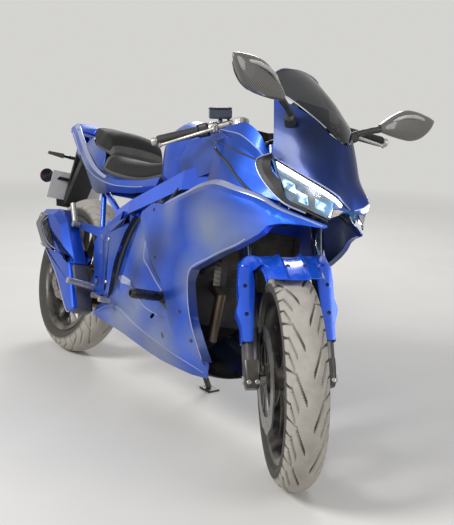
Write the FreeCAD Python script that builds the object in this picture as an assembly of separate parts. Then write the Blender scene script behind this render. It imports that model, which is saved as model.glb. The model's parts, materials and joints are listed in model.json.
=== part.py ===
import FreeCAD, Part
import math
import os

# Sport motorcycle parked on its side stand with the steering turned to the right stop.
# Every piece is drawn on the upright, straight-ahead motorcycle: X forward, Y left, Z up, the
# ground at z = 0 and x = 0 under the middle of the seat and engine. STANCE and STEERED at the end of this
# first part then lean it over and turn the fork, as it is parked.

V = FreeCAD.Vector

# Chassis
RAKE = 25.0
FORK_OFFSET = 37.728
FRONT_ROOM_X = 392.0
FRONT_AXLE_Z = 293.0
REAR_ROOM_X = -383.0
REAR_AXLE_Z = 302.0
LEAN = 13.0
LOCK = 31.0
ORIGIN_SHIFT = V(21.0, -208.0, 0.0)

# Wheels and tyres
BEAD_R = 217.0
FRONT_SECTION = 76.0
FRONT_TYRE_R = BEAD_R + FRONT_SECTION
FRONT_TYRE_HALF = 55.0
FRONT_CROWN = 45.0
FRONT_RIM_HALF = 44.0
REAR_SECTION = 85.0
REAR_TYRE_R = BEAD_R + REAR_SECTION
REAR_TYRE_HALF = 69.0
REAR_CROWN = 50.0
REAR_RIM_HALF = 57.0
RIM_LIP = 7.0
RIM_WALL = 5.0
TYRE_WALL = 10.0
HUB_R = 30.0
FRONT_HUB_HALF = 48.0
REAR_HUB_HALF = 60.0
SPOKE_PAIRS = 5
SPOKE_SPREAD = 13.0
AXLE_R = 10.0
RUN_GAP = 0.05

# Brakes and final drive
FRONT_DISC_R = 145.0
REAR_DISC_R = 110.0
DISC_T = 4.0
FRONT_DISC_Y = 65.0
REAR_DISC_Y = 76.0
DISC_WAVES = 10
PAD_GAP = 3.5
SPROCKET_R = 92.0
SPROCKET_T = 6.0
SPROCKET_TEETH = 23
DRIVE_R = 33.0
CHAIN_Y = 82.0
CHAIN_W = 14.0
CHAIN_H = 11.0
CHAIN_GAP = 0.4
DRIVE_X = -178.0
DRIVE_Z = 352.0

# Fork and bars
FORK_Y = 102.0
SLIDER_R = 25.0
FORK_TUBE_R = 19.0
STEM_R = 14.0
STEM_BORE_R = 8.5
STEM_DEPTH = 90.0
HEAD_OUTER_R = 31.0
LOWER_CLAMP_Z = 700.0
UPPER_CLAMP_Z = 915.0
CLAMP_T = 26.0
FORK_TOP_Z = 976.0
BAR_R = 11.0
GRIP_R = 16.0

# Body
PANEL = 3.5
FRAME_Y = 138.0
SWINGARM_Y = 112.0
SWINGARM_WALL = 24.0
BOBBIN_AHEAD = 45.0
BOBBIN_Z = 300.0
BOBBIN_OUT = 24.0
BOBBIN_HOLE_R = 4.25
PIVOT_X = -258.0
PIVOT_Z = 345.0
SPOOL_R = 15.0
ENGINE_HALF = 102.0
STAND_PIVOT = V(-70.0, ENGINE_HALF + 23, 268.0)
STAND_FOOT_X = -22.0
STAND_FOOT_Y = 240.0
STAND_FOLDED = V(-0.99, 0.13, 0.0)
STAND_EYE_R = 13.0
STAND_GAP = 0.3
CAP_X = 66.0
CAP_R = 38.0
SEAT_GAP = 2.0

# Steering geometry
RAKE_SIN = math.sin(math.radians(RAKE))
RAKE_COS = math.cos(math.radians(RAKE))
FRONT_AXLE = V(FRONT_ROOM_X + FRONT_TYRE_R, 0, FRONT_AXLE_Z)
REAR_AXLE = V(REAR_ROOM_X - REAR_TYRE_R, 0, REAR_AXLE_Z)
STEER_DIR = V(-RAKE_SIN, 0, RAKE_COS)
FORK_AHEAD = V(RAKE_COS, 0, RAKE_SIN)
STEER_POINT = FRONT_AXLE - FORK_AHEAD * FORK_OFFSET
STEER_FOOT = STEER_POINT - STEER_DIR * (STEER_POINT.z / RAKE_COS)
BOBBIN_X = REAR_AXLE.x + BOBBIN_AHEAD

# The nose is drawn for a front axle at NOSE_DRAWN_X and moves with it; the tail is drawn for a
# rear tyre that ends at TAIL_DRAWN_X and moves with that. Panels stretch over a join length.
NOSE_DRAWN_X = 685.0
NOSE_JOIN_X = 264.0
NOSE_JOIN_LENGTH = 52.0
NOSE = V(FRONT_AXLE.x - NOSE_DRAWN_X, 0, 0)
TAIL_DRAWN_X = -987.0
TAIL_JOIN_X = -470.0
TAIL_JOIN_LENGTH = 170.0
TAIL = V(REAR_AXLE.x - REAR_TYRE_R - TAIL_DRAWN_X, 0, 0)


def fitted(x):
    """Station of the body drawn at x, moved with the nose or the tail."""
    ahead = min(max((x - NOSE_JOIN_X) / NOSE_JOIN_LENGTH, 0.0), 1.0)
    behind = min(max((TAIL_JOIN_X - x) / TAIL_JOIN_LENGTH, 0.0), 1.0)
    return x + NOSE.x * ahead + TAIL.x * behind


def fitted_line(rows):
    """Rows that start with a station x, each moved with the nose or the tail."""
    return [(fitted(row[0]),) + tuple(row[1:]) for row in rows]


def on_axis(z):
    """Point of the steering axis at height z."""
    return STEER_FOOT + STEER_DIR * (z / RAKE_COS)


def on_leg(distance, side=0.0):
    """Point of a fork leg, at a distance up from the axle; side is its y."""
    return FRONT_AXLE + STEER_DIR * distance + V(0, side, 0)


def leg_at(z):
    """Distance up the fork leg from the axle to height z."""
    return (z - FRONT_AXLE_Z) / RAKE_COS


def leg_beside(z):
    """Distance up the fork leg to the point square across from the steering axis at z."""
    return (on_axis(z) - FRONT_AXLE).dot(STEER_DIR)


# Solid building
def face(points):
    """Flat face inside a closed outline."""
    return Part.Face(Part.makePolygon(list(points) + [points[0]]))


def side_prism(outline, y_from, y_to):
    """Side-view outline of (x, z) points, extruded from one y to another."""
    flat = face([V(x, y_from, z) for x, z in outline])
    return flat.extrude(V(0, y_to - y_from, 0))


def rod(start, end, radius):
    """Round bar between two points."""
    return Part.makeCylinder(radius, (end - start).Length, start, end - start)


def pipe(start, end, radius, bore):
    """Round tube between two points."""
    return rod(start, end, radius).cut(rod(start, end, bore))


def bent_rod(points, radius):
    """Round bar through the points, with a mitre at each bend."""
    path = Part.makePolygon(points)
    ring = Part.Wire(Part.Circle(points[0], points[1] - points[0], radius).toShape())
    return path.makePipeShell([ring], True, False, 1)


def fused(parts):
    """One solid from touching or crossing parts."""
    body = parts[0]
    if len(parts) > 1:
        body = parts[0].multiFuse(parts[1:])
    return body.removeSplitter()


def group(parts):
    """Several separate solids kept together."""
    solids = []
    for part in parts:
        solids.extend(part.Solids)
    return Part.makeCompound(solids)


def mirrored(shape):
    """The same shape on the other side of the motorcycle."""
    return shape.mirror(V(0, 0, 0), V(0, 1, 0))


def both(shape):
    """A piece and its mirror image as separate solids."""
    return group([shape, mirrored(shape)])


def block(start, end, up, wide, tall, wide_end=None, tall_end=None):
    """Tapered bar of rectangular section between two points; wide is across up."""
    along = (end - start).normalize()
    across = up.cross(along).normalize()
    rise = along.cross(across)
    wires = []
    for centre, w, t in ((start, wide, tall), (end, wide_end or wide, tall_end or tall)):
        corners = [(-1, -1), (1, -1), (1, 1), (-1, 1)]
        points = [centre + across * (i * w / 2) + rise * (j * t / 2) for i, j in corners]
        wires.append(Part.makePolygon(points + [points[0]]))
    return Part.makeLoft(wires, True, True)


def bar(stations):
    """Rectangular bar from rows of x, y, z, width, height, cut square to X."""
    wires = []
    for x, y, z, w, h in stations:
        corners = [(-1, -1), (1, -1), (1, 1), (-1, 1)]
        points = [V(x, y + i * w / 2, z + j * h / 2) for i, j in corners]
        wires.append(Part.makePolygon(points + [points[0]]))
    return Part.makeLoft(wires, True, True)


def rings(stations):
    """Straight-ruled solid through rows of x and a half outline of (y, z) points."""
    wires = []
    for x, half in stations:
        right = [V(x, -y, z) for y, z in half if y > 0]
        left = [V(x, y, z) for y, z in half]
        points = left + right[::-1]
        wires.append(Part.makePolygon(points + [points[0]]))
    return Part.makeLoft(wires, True, True)


def sheet(rows, inward, wall=PANEL):
    """Panel of even thickness over a net of points, made of flat facets; inward points to
    the hidden side and the wall is measured along it."""
    step = inward.normalize() * wall
    outer = [[V(*p) for p in row] for row in rows]
    inner = [[p + step for p in row] for row in outer]
    count_i = len(rows)
    count_j = len(rows[0])
    quads = []
    for i in range(count_i - 1):
        for j in range(count_j - 1):
            for net in (outer, inner):
                quads.append((net[i][j], net[i][j + 1], net[i + 1][j + 1], net[i + 1][j]))
    rim = [(0, j) for j in range(count_j)]
    rim += [(i, count_j - 1) for i in range(1, count_i)]
    rim += [(count_i - 1, j) for j in range(count_j - 2, -1, -1)]
    rim += [(i, 0) for i in range(count_i - 2, 0, -1)]
    for (i, j), (k, m) in zip(rim, rim[1:] + rim[:1]):
        quads.append((outer[i][j], outer[k][m], inner[k][m], inner[i][j]))
    faces = []
    for a, b, c, d in quads:
        faces.append(face([a, b, c]))
        faces.append(face([a, c, d]))
    solid = Part.makeSolid(Part.makeShell(faces))
    if solid.Volume < 0:
        solid.reverse()
    return solid


def side_sheet(xs, table, inner=PANEL):
    """Right-hand side panel from a table of half-widths: one row per height z, one column
    for each x of xs."""
    rows = [[(x, -y, z) for x, y in zip(xs, widths)] for z, widths in table]
    return sheet(rows, V(0, 1, 0), inner)


def lathe(profile, centre):
    """Solid of revolution about the wheel axis from a closed outline of (y, r) points."""
    flat = face([V(r, y, 0) for y, r in profile])
    body = flat.revolve(V(0, 0, 0), V(0, 1, 0), 360)
    body.translate(centre)
    return body


# The parked stance
STEER_TURN = FreeCAD.Placement(V(0, 0, 0), FreeCAD.Rotation(STEER_DIR, -LOCK), STEER_FOOT)


def tread_arc(radius, half, crown, chords):
    """Points (y, r) along the rounded tread from the right shoulder to the left."""
    arc = (half ** 2 + crown ** 2) / (2 * crown)
    reach = math.asin(half / arc)
    turns = [reach * (2 * k / chords - 1) for k in range(chords + 1)]
    return [(arc * math.sin(t), radius - arc + arc * math.cos(t)) for t in turns]


def lowest(placement, centre, tread):
    """Height of the lowest point of a tyre."""
    axis = placement.Rotation.multVec(V(0, 1, 0))
    middle = placement.multVec(centre)
    drop = math.sqrt(1 - axis.z ** 2)
    return min(middle.z + y * axis.z - r * drop for y, r in tread)


FRONT_TREAD = tread_arc(FRONT_TYRE_R, FRONT_TYRE_HALF, FRONT_CROWN, 10)
REAR_TREAD = tread_arc(REAR_TYRE_R, REAR_TYRE_HALF, REAR_CROWN, 10)


def parked():
    """Placement of the leaning chassis with both tyres on the ground."""
    lean = FreeCAD.Rotation(V(1, 0, 0), -LEAN)
    pitch = 0.0
    lift = 0.0
    for _ in range(4):
        turn = FreeCAD.Rotation(V(0, 1, 0), pitch).multiply(lean)
        stance = FreeCAD.Placement(ORIGIN_SHIFT + V(0, 0, lift), turn)
        front = lowest(stance.multiply(STEER_TURN), FRONT_AXLE, FRONT_TREAD)
        rear = lowest(stance, REAR_AXLE, REAR_TREAD)
        pitch += math.degrees(math.atan((front - rear) / (FRONT_AXLE.x - REAR_AXLE.x)))
        lift -= (front + rear) / 2
    return stance


STANCE = parked()
STEERED = STANCE.multiply(STEER_TURN)
drawn = {}
nodes = {}


def place(name, shape, placement=STANCE):
    """Keep a piece under its node name, as drawn and moved to where it stands."""
    drawn[name] = shape
    body = shape.copy()
    body.Placement = placement.multiply(body.Placement)
    nodes[name] = body


# Tyres: a rounded tread, thin walls and a bead against the rim flange
def tyre(tread, rim_half, centre):
    bead_y = rim_half - RIM_WALL
    lip = BEAD_R + RIM_LIP + 1
    half, shoulder = tread[-1]
    inside = [(y * (half - TYRE_WALL) / half, r - TYRE_WALL) for y, r in tread[::-2]]
    outline = tread + [(bead_y, lip), (bead_y, BEAD_R), (bead_y - TYRE_WALL, BEAD_R)]
    outline += inside + [(TYRE_WALL - bead_y, BEAD_R), (-bead_y, BEAD_R), (-bead_y, lip)]
    return lathe(outline, centre)


# Cast wheels: a drop-centre rim, five pairs of spokes and a hub bored for the axle
def wheel(half, hub_half, centre):
    seat = half - RIM_WALL
    ring = lathe([(-half, BEAD_R + RIM_LIP), (-half, BEAD_R - 12), (-half + 18, BEAD_R - 20),
                  (half - 18, BEAD_R - 20), (half, BEAD_R - 12), (half, BEAD_R + RIM_LIP),
                  (seat, BEAD_R + RIM_LIP), (seat, BEAD_R), (seat - 16, BEAD_R),
                  (seat - 24, BEAD_R - 11), (24 - seat, BEAD_R - 11), (16 - seat, BEAD_R),
                  (-seat, BEAD_R), (-seat, BEAD_R + RIM_LIP)], V(0, 0, 0))
    parts = [ring, rod(V(0, -hub_half, 0), V(0, hub_half, 0), HUB_R)]
    for k in range(SPOKE_PAIRS):
        for side in (-1, 1):
            root = math.radians(90 + 360.0 * k / SPOKE_PAIRS + side * 6)
            tip = math.radians(90 + 360.0 * k / SPOKE_PAIRS + side * SPOKE_SPREAD)
            start = V(math.cos(root), 0, math.sin(root)) * (HUB_R - 6)
            end = V(math.cos(tip), 0, math.sin(tip)) * (BEAD_R - 16)
            parts.append(block(start, end, V(0, 1, 0), 16, 34, 13, 24))
    body = fused(parts)
    body = body.cut(rod(V(0, -hub_half - 1, 0), V(0, hub_half + 1, 0), AXLE_R + RUN_GAP))
    body.translate(centre)
    return body


# Brake discs: a wavy ring carried by arms on a bell that sits against the hub end
def disc(radius, y, hub_half, centre):
    near = y - DISC_T / 2
    bell = rod(V(0, -near, 0), V(0, -hub_half, 0), HUB_R + 8)
    ring = rod(V(0, -y - DISC_T / 2, 0), V(0, -near, 0), radius)
    ring = ring.cut(rod(V(0, -y - DISC_T, 0), V(0, 0, 0), radius * 0.68))
    for k in range(DISC_WAVES):
        turn = 2 * math.pi * k / DISC_WAVES
        out = V(math.cos(turn), 0, math.sin(turn)) * (radius + 9)
        ring = ring.cut(rod(out + V(0, -y - DISC_T, 0), out, 16))
    arms = []
    for k in range(SPOKE_PAIRS):
        turn = 2 * math.pi * (k + 0.5) / SPOKE_PAIRS
        out = V(math.cos(turn), 0, math.sin(turn))
        mid = V(0, -near - DISC_T / 2, 0)
        arms.append(block(mid + out * 20, mid + out * radius * 0.74, V(0, 1, 0), 18, DISC_T))
    body = fused([bell, ring] + arms)
    body = body.cut(rod(V(0, -y - DISC_T, 0), V(0, 0, 0), AXLE_R + 4))
    body.translate(centre)
    return body


place("front_tyre", tyre(FRONT_TREAD, FRONT_RIM_HALF, FRONT_AXLE), STEERED)
place("front_rim", wheel(FRONT_RIM_HALF, FRONT_HUB_HALF, FRONT_AXLE), STEERED)
place("front_disc", disc(FRONT_DISC_R, FRONT_DISC_Y, FRONT_HUB_HALF, FRONT_AXLE), STEERED)
place("rear_tyre", tyre(REAR_TREAD, REAR_RIM_HALF, REAR_AXLE))
place("rear_rim", wheel(REAR_RIM_HALF, REAR_HUB_HALF, REAR_AXLE))
place("rear_disc", disc(REAR_DISC_R, REAR_DISC_Y, REAR_HUB_HALF, REAR_AXLE))


# Rear sprocket on the left of the hub, and the chain that runs round both sprockets
def toothed(radius, teeth, depth, y_from, y_to, centre):
    points = []
    for k in range(teeth * 4):
        turn = 2 * math.pi * k / (teeth * 4)
        reach = radius if k % 4 < 2 else radius - depth
        points.append(V(reach * math.cos(turn), y_from, reach * math.sin(turn)))
    body = face(points).extrude(V(0, y_to - y_from, 0))
    body.translate(centre)
    return body


def belt(centre_a, radius_a, centre_b, radius_b, y_from, y_to):
    """Filled outline of a belt round two wheels of different size."""
    gap = centre_b - centre_a
    base = math.atan2(gap.z, gap.x)
    open_angle = math.acos((radius_a - radius_b) / gap.Length)
    edges = []
    corners = []
    for centre, radius, first, last in (
            (centre_a, radius_a, base + open_angle, base + 2 * math.pi - open_angle),
            (centre_b, radius_b, base - open_angle, base + open_angle)):
        spots = [V(centre.x + radius * math.cos(t), y_from, centre.z + radius * math.sin(t))
                 for t in (first, (first + last) / 2, last)]
        edges.append(Part.Arc(*spots).toShape())
        corners.append((spots[0], spots[2]))
    edges.insert(1, Part.makeLine(corners[0][1], corners[1][0]))
    edges.append(Part.makeLine(corners[1][1], corners[0][0]))
    return Part.Face(Part.Wire(edges)).extrude(V(0, y_to - y_from, 0))


sprocket = toothed(SPROCKET_R, SPROCKET_TEETH, 7, CHAIN_Y - SPROCKET_T / 2,
                   CHAIN_Y + SPROCKET_T / 2, V(0, 0, 0))
sprocket = fused([sprocket, rod(V(0, REAR_HUB_HALF, 0), V(0, CHAIN_Y, 0), HUB_R + 6)])
for k in range(SPOKE_PAIRS):
    turn = 2 * math.pi * k / SPOKE_PAIRS
    hole = V(math.cos(turn), 0, math.sin(turn)) * 60
    sprocket = sprocket.cut(rod(hole + V(0, 60, 0), hole + V(0, 90, 0), 14))
sprocket = sprocket.cut(rod(V(0, 40, 0), V(0, 100, 0), AXLE_R + 4))
sprocket.translate(REAR_AXLE)
place("rear_sprocket", sprocket)

drive = V(DRIVE_X, 0, DRIVE_Z)
inner_a = SPROCKET_R + CHAIN_GAP
inner_b = DRIVE_R + CHAIN_GAP
chain = belt(REAR_AXLE, inner_a + CHAIN_H, drive, inner_b + CHAIN_H,
             CHAIN_Y - CHAIN_W / 2, CHAIN_Y + CHAIN_W / 2)
chain = chain.cut(belt(REAR_AXLE, inner_a, drive, inner_b, 0, 200))
place("chain", chain)

# Fork: sliders with their feet, inner tubes, clamps with the steering stem
GUARD_R = FRONT_TYRE_R + 14
slider_top = GUARD_R - 7
slider_low = leg_at(338.0)
foot = block(on_leg(-24, -FORK_Y), on_leg(slider_low, -FORK_Y), V(0, 1, 0), 60, 34, 50, 46)
foot = foot.cut(rod(FRONT_AXLE + V(0, -200, 0), FRONT_AXLE + V(0, 200, 0), AXLE_R))
place("fork_feet", both(foot), STEERED)
slider = rod(on_leg(slider_low, -FORK_Y), on_leg(slider_top, -FORK_Y), SLIDER_R)
stanchion = rod(on_leg(slider_top, -FORK_Y), on_leg(leg_at(FORK_TOP_Z), -FORK_Y), FORK_TUBE_R)
place("fork_tubes", both(fused([slider, stanchion])), STEERED)


def clamp(z, thick):
    """Fork clamp: a plate square to the steering axis, bored for both legs."""
    centre = on_axis(z)
    reach = FORK_OFFSET
    right = [(-30, -24), (reach - 22, -FORK_Y + 10), (reach - 20, -FORK_Y - 26),
             (reach + 4, -FORK_Y - 26), (reach + 25, -FORK_Y - 8), (reach + 25, -FORK_Y + 22),
             (30, -20)]
    outline = right + [(a, -y) for a, y in reversed(right)]
    start = centre - STEER_DIR * (thick / 2)
    plate = face([start + FORK_AHEAD * a + V(0, y, 0) for a, y in outline])
    plate = plate.extrude(STEER_DIR * thick)
    for side in (-FORK_Y, FORK_Y):
        plate = plate.cut(rod(on_leg(0, side), on_leg(900, side), FORK_TUBE_R))
    return plate


stem = rod(on_axis(LOWER_CLAMP_Z - 12), on_axis(UPPER_CLAMP_Z + 14), STEM_R)
clamps = fused([clamp(LOWER_CLAMP_Z, CLAMP_T + 6), clamp(UPPER_CLAMP_Z, CLAMP_T), stem])
STEM_MOUTH = on_axis(LOWER_CLAMP_Z) - STEER_DIR * (CLAMP_T / 2 + 3)
clamps = clamps.cut(rod(STEM_MOUTH - STEER_DIR * 10, STEM_MOUTH + STEER_DIR * STEM_DEPTH, STEM_BORE_R))
place("fork_clamps", clamps, STEERED)

axle = rod(FRONT_AXLE + V(0, -FORK_Y - 24, 0), FRONT_AXLE + V(0, FORK_Y + 24, 0), AXLE_R)
collars = [pipe(FRONT_AXLE + V(0, s * (FRONT_HUB_HALF + 1), 0),
                FRONT_AXLE + V(0, s * (FORK_Y - 17), 0), AXLE_R + 3, AXLE_R) for s in (-1, 1)]
place("front_axle", fused([axle] + collars).cut(both(foot)), STEERED)

# Front mudguard: a crowned strip over the tyre, with a guard plate down each fork leg
GUARD_HALF = FRONT_TYRE_HALF + 13
guard_rows = []
for degrees in (61, 72, 84, 96, 108, 122):
    turn = math.radians(degrees)
    out = V(math.cos(turn), 0, math.sin(turn))
    row = []
    for y, r in ((-GUARD_HALF, GUARD_R - 44), (-GUARD_HALF + 6, GUARD_R - 8), (-30, GUARD_R + 6),
                 (0, GUARD_R + 12), (30, GUARD_R + 6), (GUARD_HALF - 6, GUARD_R - 8),
                 (GUARD_HALF, GUARD_R - 44)):
        p = FRONT_AXLE + out * r + V(0, y, 0)
        row.append((p.x, p.y, p.z))
    guard_rows.append(row)
crown_strip = sheet(guard_rows, V(-0.15, 0, -1), PANEL)
guard_low = leg_at(372.0)
guard_top = GUARD_R + 21
wires = []
for distance, front, outer in ((guard_low, 27, 26), (leg_at(440.0), 29, 33),
                               (GUARD_R - 56, 30, 29), (guard_top, 30, 26)):
    base = on_leg(distance, -FORK_Y)
    outline = [(-24, -outer), (front, -outer), (front, 24), (front + PANEL, 24),
               (front + PANEL, -outer - PANEL), (-24, -outer - PANEL)]
    points = [base + FORK_AHEAD * a + V(0, b, 0) for a, b in outline]
    wires.append(Part.makePolygon(points + [points[0]]))
guard_plate = Part.makeLoft(wires, True, True)
for z in (435.0, 487.0):
    hole = on_leg(leg_at(z), -FORK_Y) + FORK_AHEAD * 12
    guard_plate = guard_plate.cut(rod(hole + V(0, -60, 0), hole, 5))
ear = on_leg(GUARD_R - 22, 0) + FORK_AHEAD * 29
shoulder = block(ear + V(0, -FORK_Y + 18, 0), ear + V(0, -GUARD_HALF + 9, 0), STEER_DIR, 5, 54)
pads = []
for distance in (leg_at(400.0), GUARD_R - 34):
    at = on_leg(distance, -FORK_Y)
    pads.append(rod(at + FORK_AHEAD * (SLIDER_R - 5), at + FORK_AHEAD * (SLIDER_R + 4), 6))
half_guard = [guard_plate, shoulder] + pads
mudguard = fused([crown_strip] + half_guard + [mirrored(part) for part in half_guard])
place("front_mudguard", mudguard.cut(both(slider)), STEERED)

# Front caliper behind the right leg, with a slot that the disc turns in
caliper_back = FORK_AHEAD * (FRONT_DISC_R - 88)
caliper = block(on_leg(FRONT_DISC_R - 95, -73) - caliper_back,
                on_leg(FRONT_DISC_R - 13, -73) - caliper_back, V(0, 1, 0), 62, 38)
slot = rod(FRONT_AXLE + V(0, -FRONT_DISC_Y - DISC_T / 2 - PAD_GAP, 0),
           FRONT_AXLE + V(0, -FRONT_DISC_Y + DISC_T / 2 + PAD_GAP, 0), FRONT_DISC_R + 4)
leg_space = rod(on_leg(0, -FORK_Y), on_leg(500, -FORK_Y), SLIDER_R)
ears = [block(on_leg(FRONT_DISC_R - inset, -FORK_Y + 4) - FORK_AHEAD * 20,
              on_leg(FRONT_DISC_R - inset, -FORK_Y + 4) - FORK_AHEAD * (FRONT_DISC_R - 103),
              V(0, 1, 0), 18, 22) for inset in (79, 27)]
caliper = fused([caliper.cut(slot)] + ears).cut(leg_space).cut(foot)
place("front_caliper", caliper, STEERED)

# Clip-on bars, grips, levers and switch housings
BAR_ROOT = V(372.0, -FORK_Y, 972.0) + NOSE
BAR_TIP = V(300.0, -341.0, 914.0) + NOSE
bar_dir = (BAR_TIP - BAR_ROOT).normalize()
bar_length = (BAR_TIP - BAR_ROOT).Length
ring_low = on_leg(leg_beside(UPPER_CLAMP_Z) + CLAMP_T / 2, -FORK_Y)
ring_top = on_leg(leg_at(FORK_TOP_Z) + 2, -FORK_Y)
clip = fused([rod(ring_low, ring_top, FORK_TUBE_R + 8), rod(BAR_ROOT, BAR_TIP, BAR_R),
              rod(BAR_TIP, BAR_TIP + bar_dir * 16, GRIP_R - 2)])
clip = clip.cut(rod(ring_low, on_leg(leg_at(FORK_TOP_Z), -FORK_Y), FORK_TUBE_R))
place("clip_on_bars", both(clip), STEERED)


def along_bar(distance, radius, length):
    """Sleeve on the bar, from a distance along it."""
    start = BAR_ROOT + bar_dir * distance
    return pipe(start, start + bar_dir * length, radius, BAR_R)


grip = fused([along_bar(bar_length - 128, GRIP_R, 124), along_bar(bar_length - 132, GRIP_R + 5, 5)])
place("grips", both(grip), STEERED)
pod = along_bar(bar_length - 162, GRIP_R + 5, 28)
place("switch_pods", both(pod), STEERED)
lever_root = BAR_ROOT + bar_dir * 82 + V(34, 0, -2)
lever_tip = BAR_TIP + V(40, 6, -12)
perch = fused([along_bar(68, GRIP_R, 24),
               block(BAR_ROOT + bar_dir * 80 + V(12, 0, -2), lever_root, V(0, 0, 1), 22, 14)])
perch = perch.cut(rod(BAR_ROOT, BAR_TIP, BAR_R))
lever = fused([block(lever_root, lever_tip, V(0, 0, 1), 12, 8, 9, 7),
               rod(lever_tip - V(0, 0, 6), lever_tip + V(0, 0, 6), 8)])
place("hand_levers", both(fused([perch, lever])), STEERED)
cup = V(352.0, -158.0, 994.0) + NOSE
reservoir = block(cup + V(0, 34, 0), cup + V(0, -34, 0), V(0, 0, 1), 40, 36)
arm = block(BAR_ROOT + bar_dir * 60 + V(4, 0, 8), cup + V(2, 0, -10), V(1, 0, 0), 14, 12)
brake_cup = fused([reservoir, arm]).cut(rod(BAR_ROOT, BAR_TIP, GRIP_R))
brake_cup = brake_cup.cut(rod(ring_low, ring_top, FORK_TUBE_R + 8))
place("brake_reservoir", brake_cup, STEERED)

# Main frame: head tube, two side spars, pivot plates, engine hangers and the rear subframe
head = rod(on_axis(LOWER_CLAMP_Z + 22), on_axis(UPPER_CLAMP_Z - 18), HEAD_OUTER_R)
spar = bar([(418 + NOSE.x, -30, 800, 40, 110), (300, -104, 792, 30, 84), (148, -FRAME_Y, 748, 26, 60),
            (-150, -FRAME_Y, 622, 26, 46), (-252, -FRAME_Y + 8, 570, 26, 50)])
plate = side_prism([(-232, 560), (-278, 560), (-300, 430), (-296, 300), (-228, 288), (-222, 420)],
                   -FRAME_Y + 2, -FRAME_Y - 12)
cross_low = rod(V(PIVOT_X, -FRAME_Y + 2, PIVOT_Z + 120), V(PIVOT_X, FRAME_Y - 2, PIVOT_Z + 120), 14)
cross_top = rod(V(-234, -FRAME_Y, 584), V(-234, FRAME_Y, 584), 15)
hanger = bar([(300, -100, 740, 14, 60), (262, -100, 640, 14, 40)])
RAIL_JOG = V(-440.0, -96.0, 650.0)
RAIL_END = V(-820.0, -56.0, 775.0) + TAIL
rail = bent_rod([V(-240, -FRAME_Y + 6, 590), RAIL_JOG, RAIL_END], 11)
posts = [rod(V(-236, -60, 585), V(-236, -60, 710), 9)]
for share, top in ((0.0, 722), (0.32, 806), (0.79, 838)):
    at = RAIL_JOG + (RAIL_END - RAIL_JOG) * share + V(14, 0, 3)
    posts.append(rod(at, V(at.x, at.y, top), 8))
tank_cross = rod(V(100, -FRAME_Y, 727), V(100, FRAME_Y, 727), 9)
tank_rear = rod(V(-90, -FRAME_Y, 648), V(-90, FRAME_Y, 648), 12)
posts.append(rod(V(-90, -40, 648), V(-90, -40, 740), 9))
strut = bent_rod([V(-272, -FRAME_Y + 4, 470), V(-400, -102, 520), V(-470, -92, 660)], 10)
tail_cross = rod(V(-800, -62, 769) + TAIL, V(-800, 62, 769) + TAIL, 9)
seat_cross = rod(V(-440, -96, 650), V(-440, 96, 650), 9)
half = [spar, plate, hanger, rail, strut] + posts
main_frame = fused([head, cross_low, cross_top, tail_cross, seat_cross, tank_cross, tank_rear] + half
                   + [mirrored(part) for part in half])
stem_room = rod(on_axis(LOWER_CLAMP_Z), on_axis(UPPER_CLAMP_Z), STEM_R + RUN_GAP)
main_frame = main_frame.cut(stem_room)
pivot_hole = rod(V(PIVOT_X, -200, PIVOT_Z), V(PIVOT_X, 200, PIVOT_Z), AXLE_R)
place("main_frame", main_frame.cut(pivot_hole))

# Engine and gearbox as one plain block, with the airbox and throttle body space above it
engine_outline = [(-214, 296), (-206, 430), (-80, 470), (-10, 640), (190, 640), (262, 500),
                  (252, 330), (170, 262), (-150, 262)]
engine = side_prism(engine_outline, -ENGINE_HALF, ENGINE_HALF)
chain_room = belt(REAR_AXLE, inner_a + CHAIN_H + 4, drive, inner_b + CHAIN_H + 4, 66, 110)
engine = engine.cut(chain_room)
place("engine_block", fused([engine, rod(V(DRIVE_X, 60, DRIVE_Z), V(DRIVE_X, 88, DRIVE_Z), DRIVE_R)]))

# Radiator with a finned front between two side tanks
RAD_LOW = V(424.0, 0.0, 478.0)
RAD_TOP = V(388.0, 0.0, 652.0)
rad_up = (RAD_TOP - RAD_LOW).normalize()
rad_ahead = V(rad_up.z, 0, -rad_up.x)
core = block(RAD_LOW, RAD_TOP, V(1, 0, 0), 236, 20)
fins = []
for k in range(12):
    at = RAD_LOW + rad_up * (7 + 15 * k) + rad_ahead * 12
    fins.append(block(at + V(0, -118, 0), at + V(0, 118, 0), rad_up, 5, 3))
tanks = [block(RAD_LOW + V(0, s * 128, 0), RAD_TOP + V(0, s * 128, 0), V(1, 0, 0), 22, 32)
         for s in (-1, 1)]
place("radiator", fused([core] + fins + tanks))

# Fuel tank and its filler
tank = rings([
    (252, [(0, 884), (40, 882), (84, 860), (88, 800), (60, 752), (0, 752)]),
    (180, [(0, 926), (58, 924), (118, 888), (118, 800), (96, 744), (0, 744)]),
    (60, [(0, 934), (62, 932), (126, 880), (136, 790), (108, 730), (0, 730)]),
    (-60, [(0, 918), (58, 915), (110, 862), (112, 790), (90, 728), (0, 728)]),
    (-106, [(0, 852), (46, 850), (72, 822), (76, 780), (58, 742), (0, 742)])])
neck = rod(V(CAP_X, 0, 920), V(CAP_X, 0, 940), CAP_R + 10)
neck = neck.cut(rod(V(CAP_X, 0, 900), V(CAP_X, 0, 950), CAP_R - 8))
filler = rod(V(CAP_X, 0, 860), V(CAP_X, 0, 950), CAP_R - 8)
place("fuel_tank", fused([tank.cut(filler), neck]).cut(main_frame))
cap_rim = rod(V(CAP_X, 0, 940.3), V(CAP_X, 0, 947), CAP_R + 8)
cap_plug = rod(V(CAP_X, 0, 925), V(CAP_X, 0, 941), CAP_R - 10)
place("fuel_cap", fused([cap_rim, cap_plug]))

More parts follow.
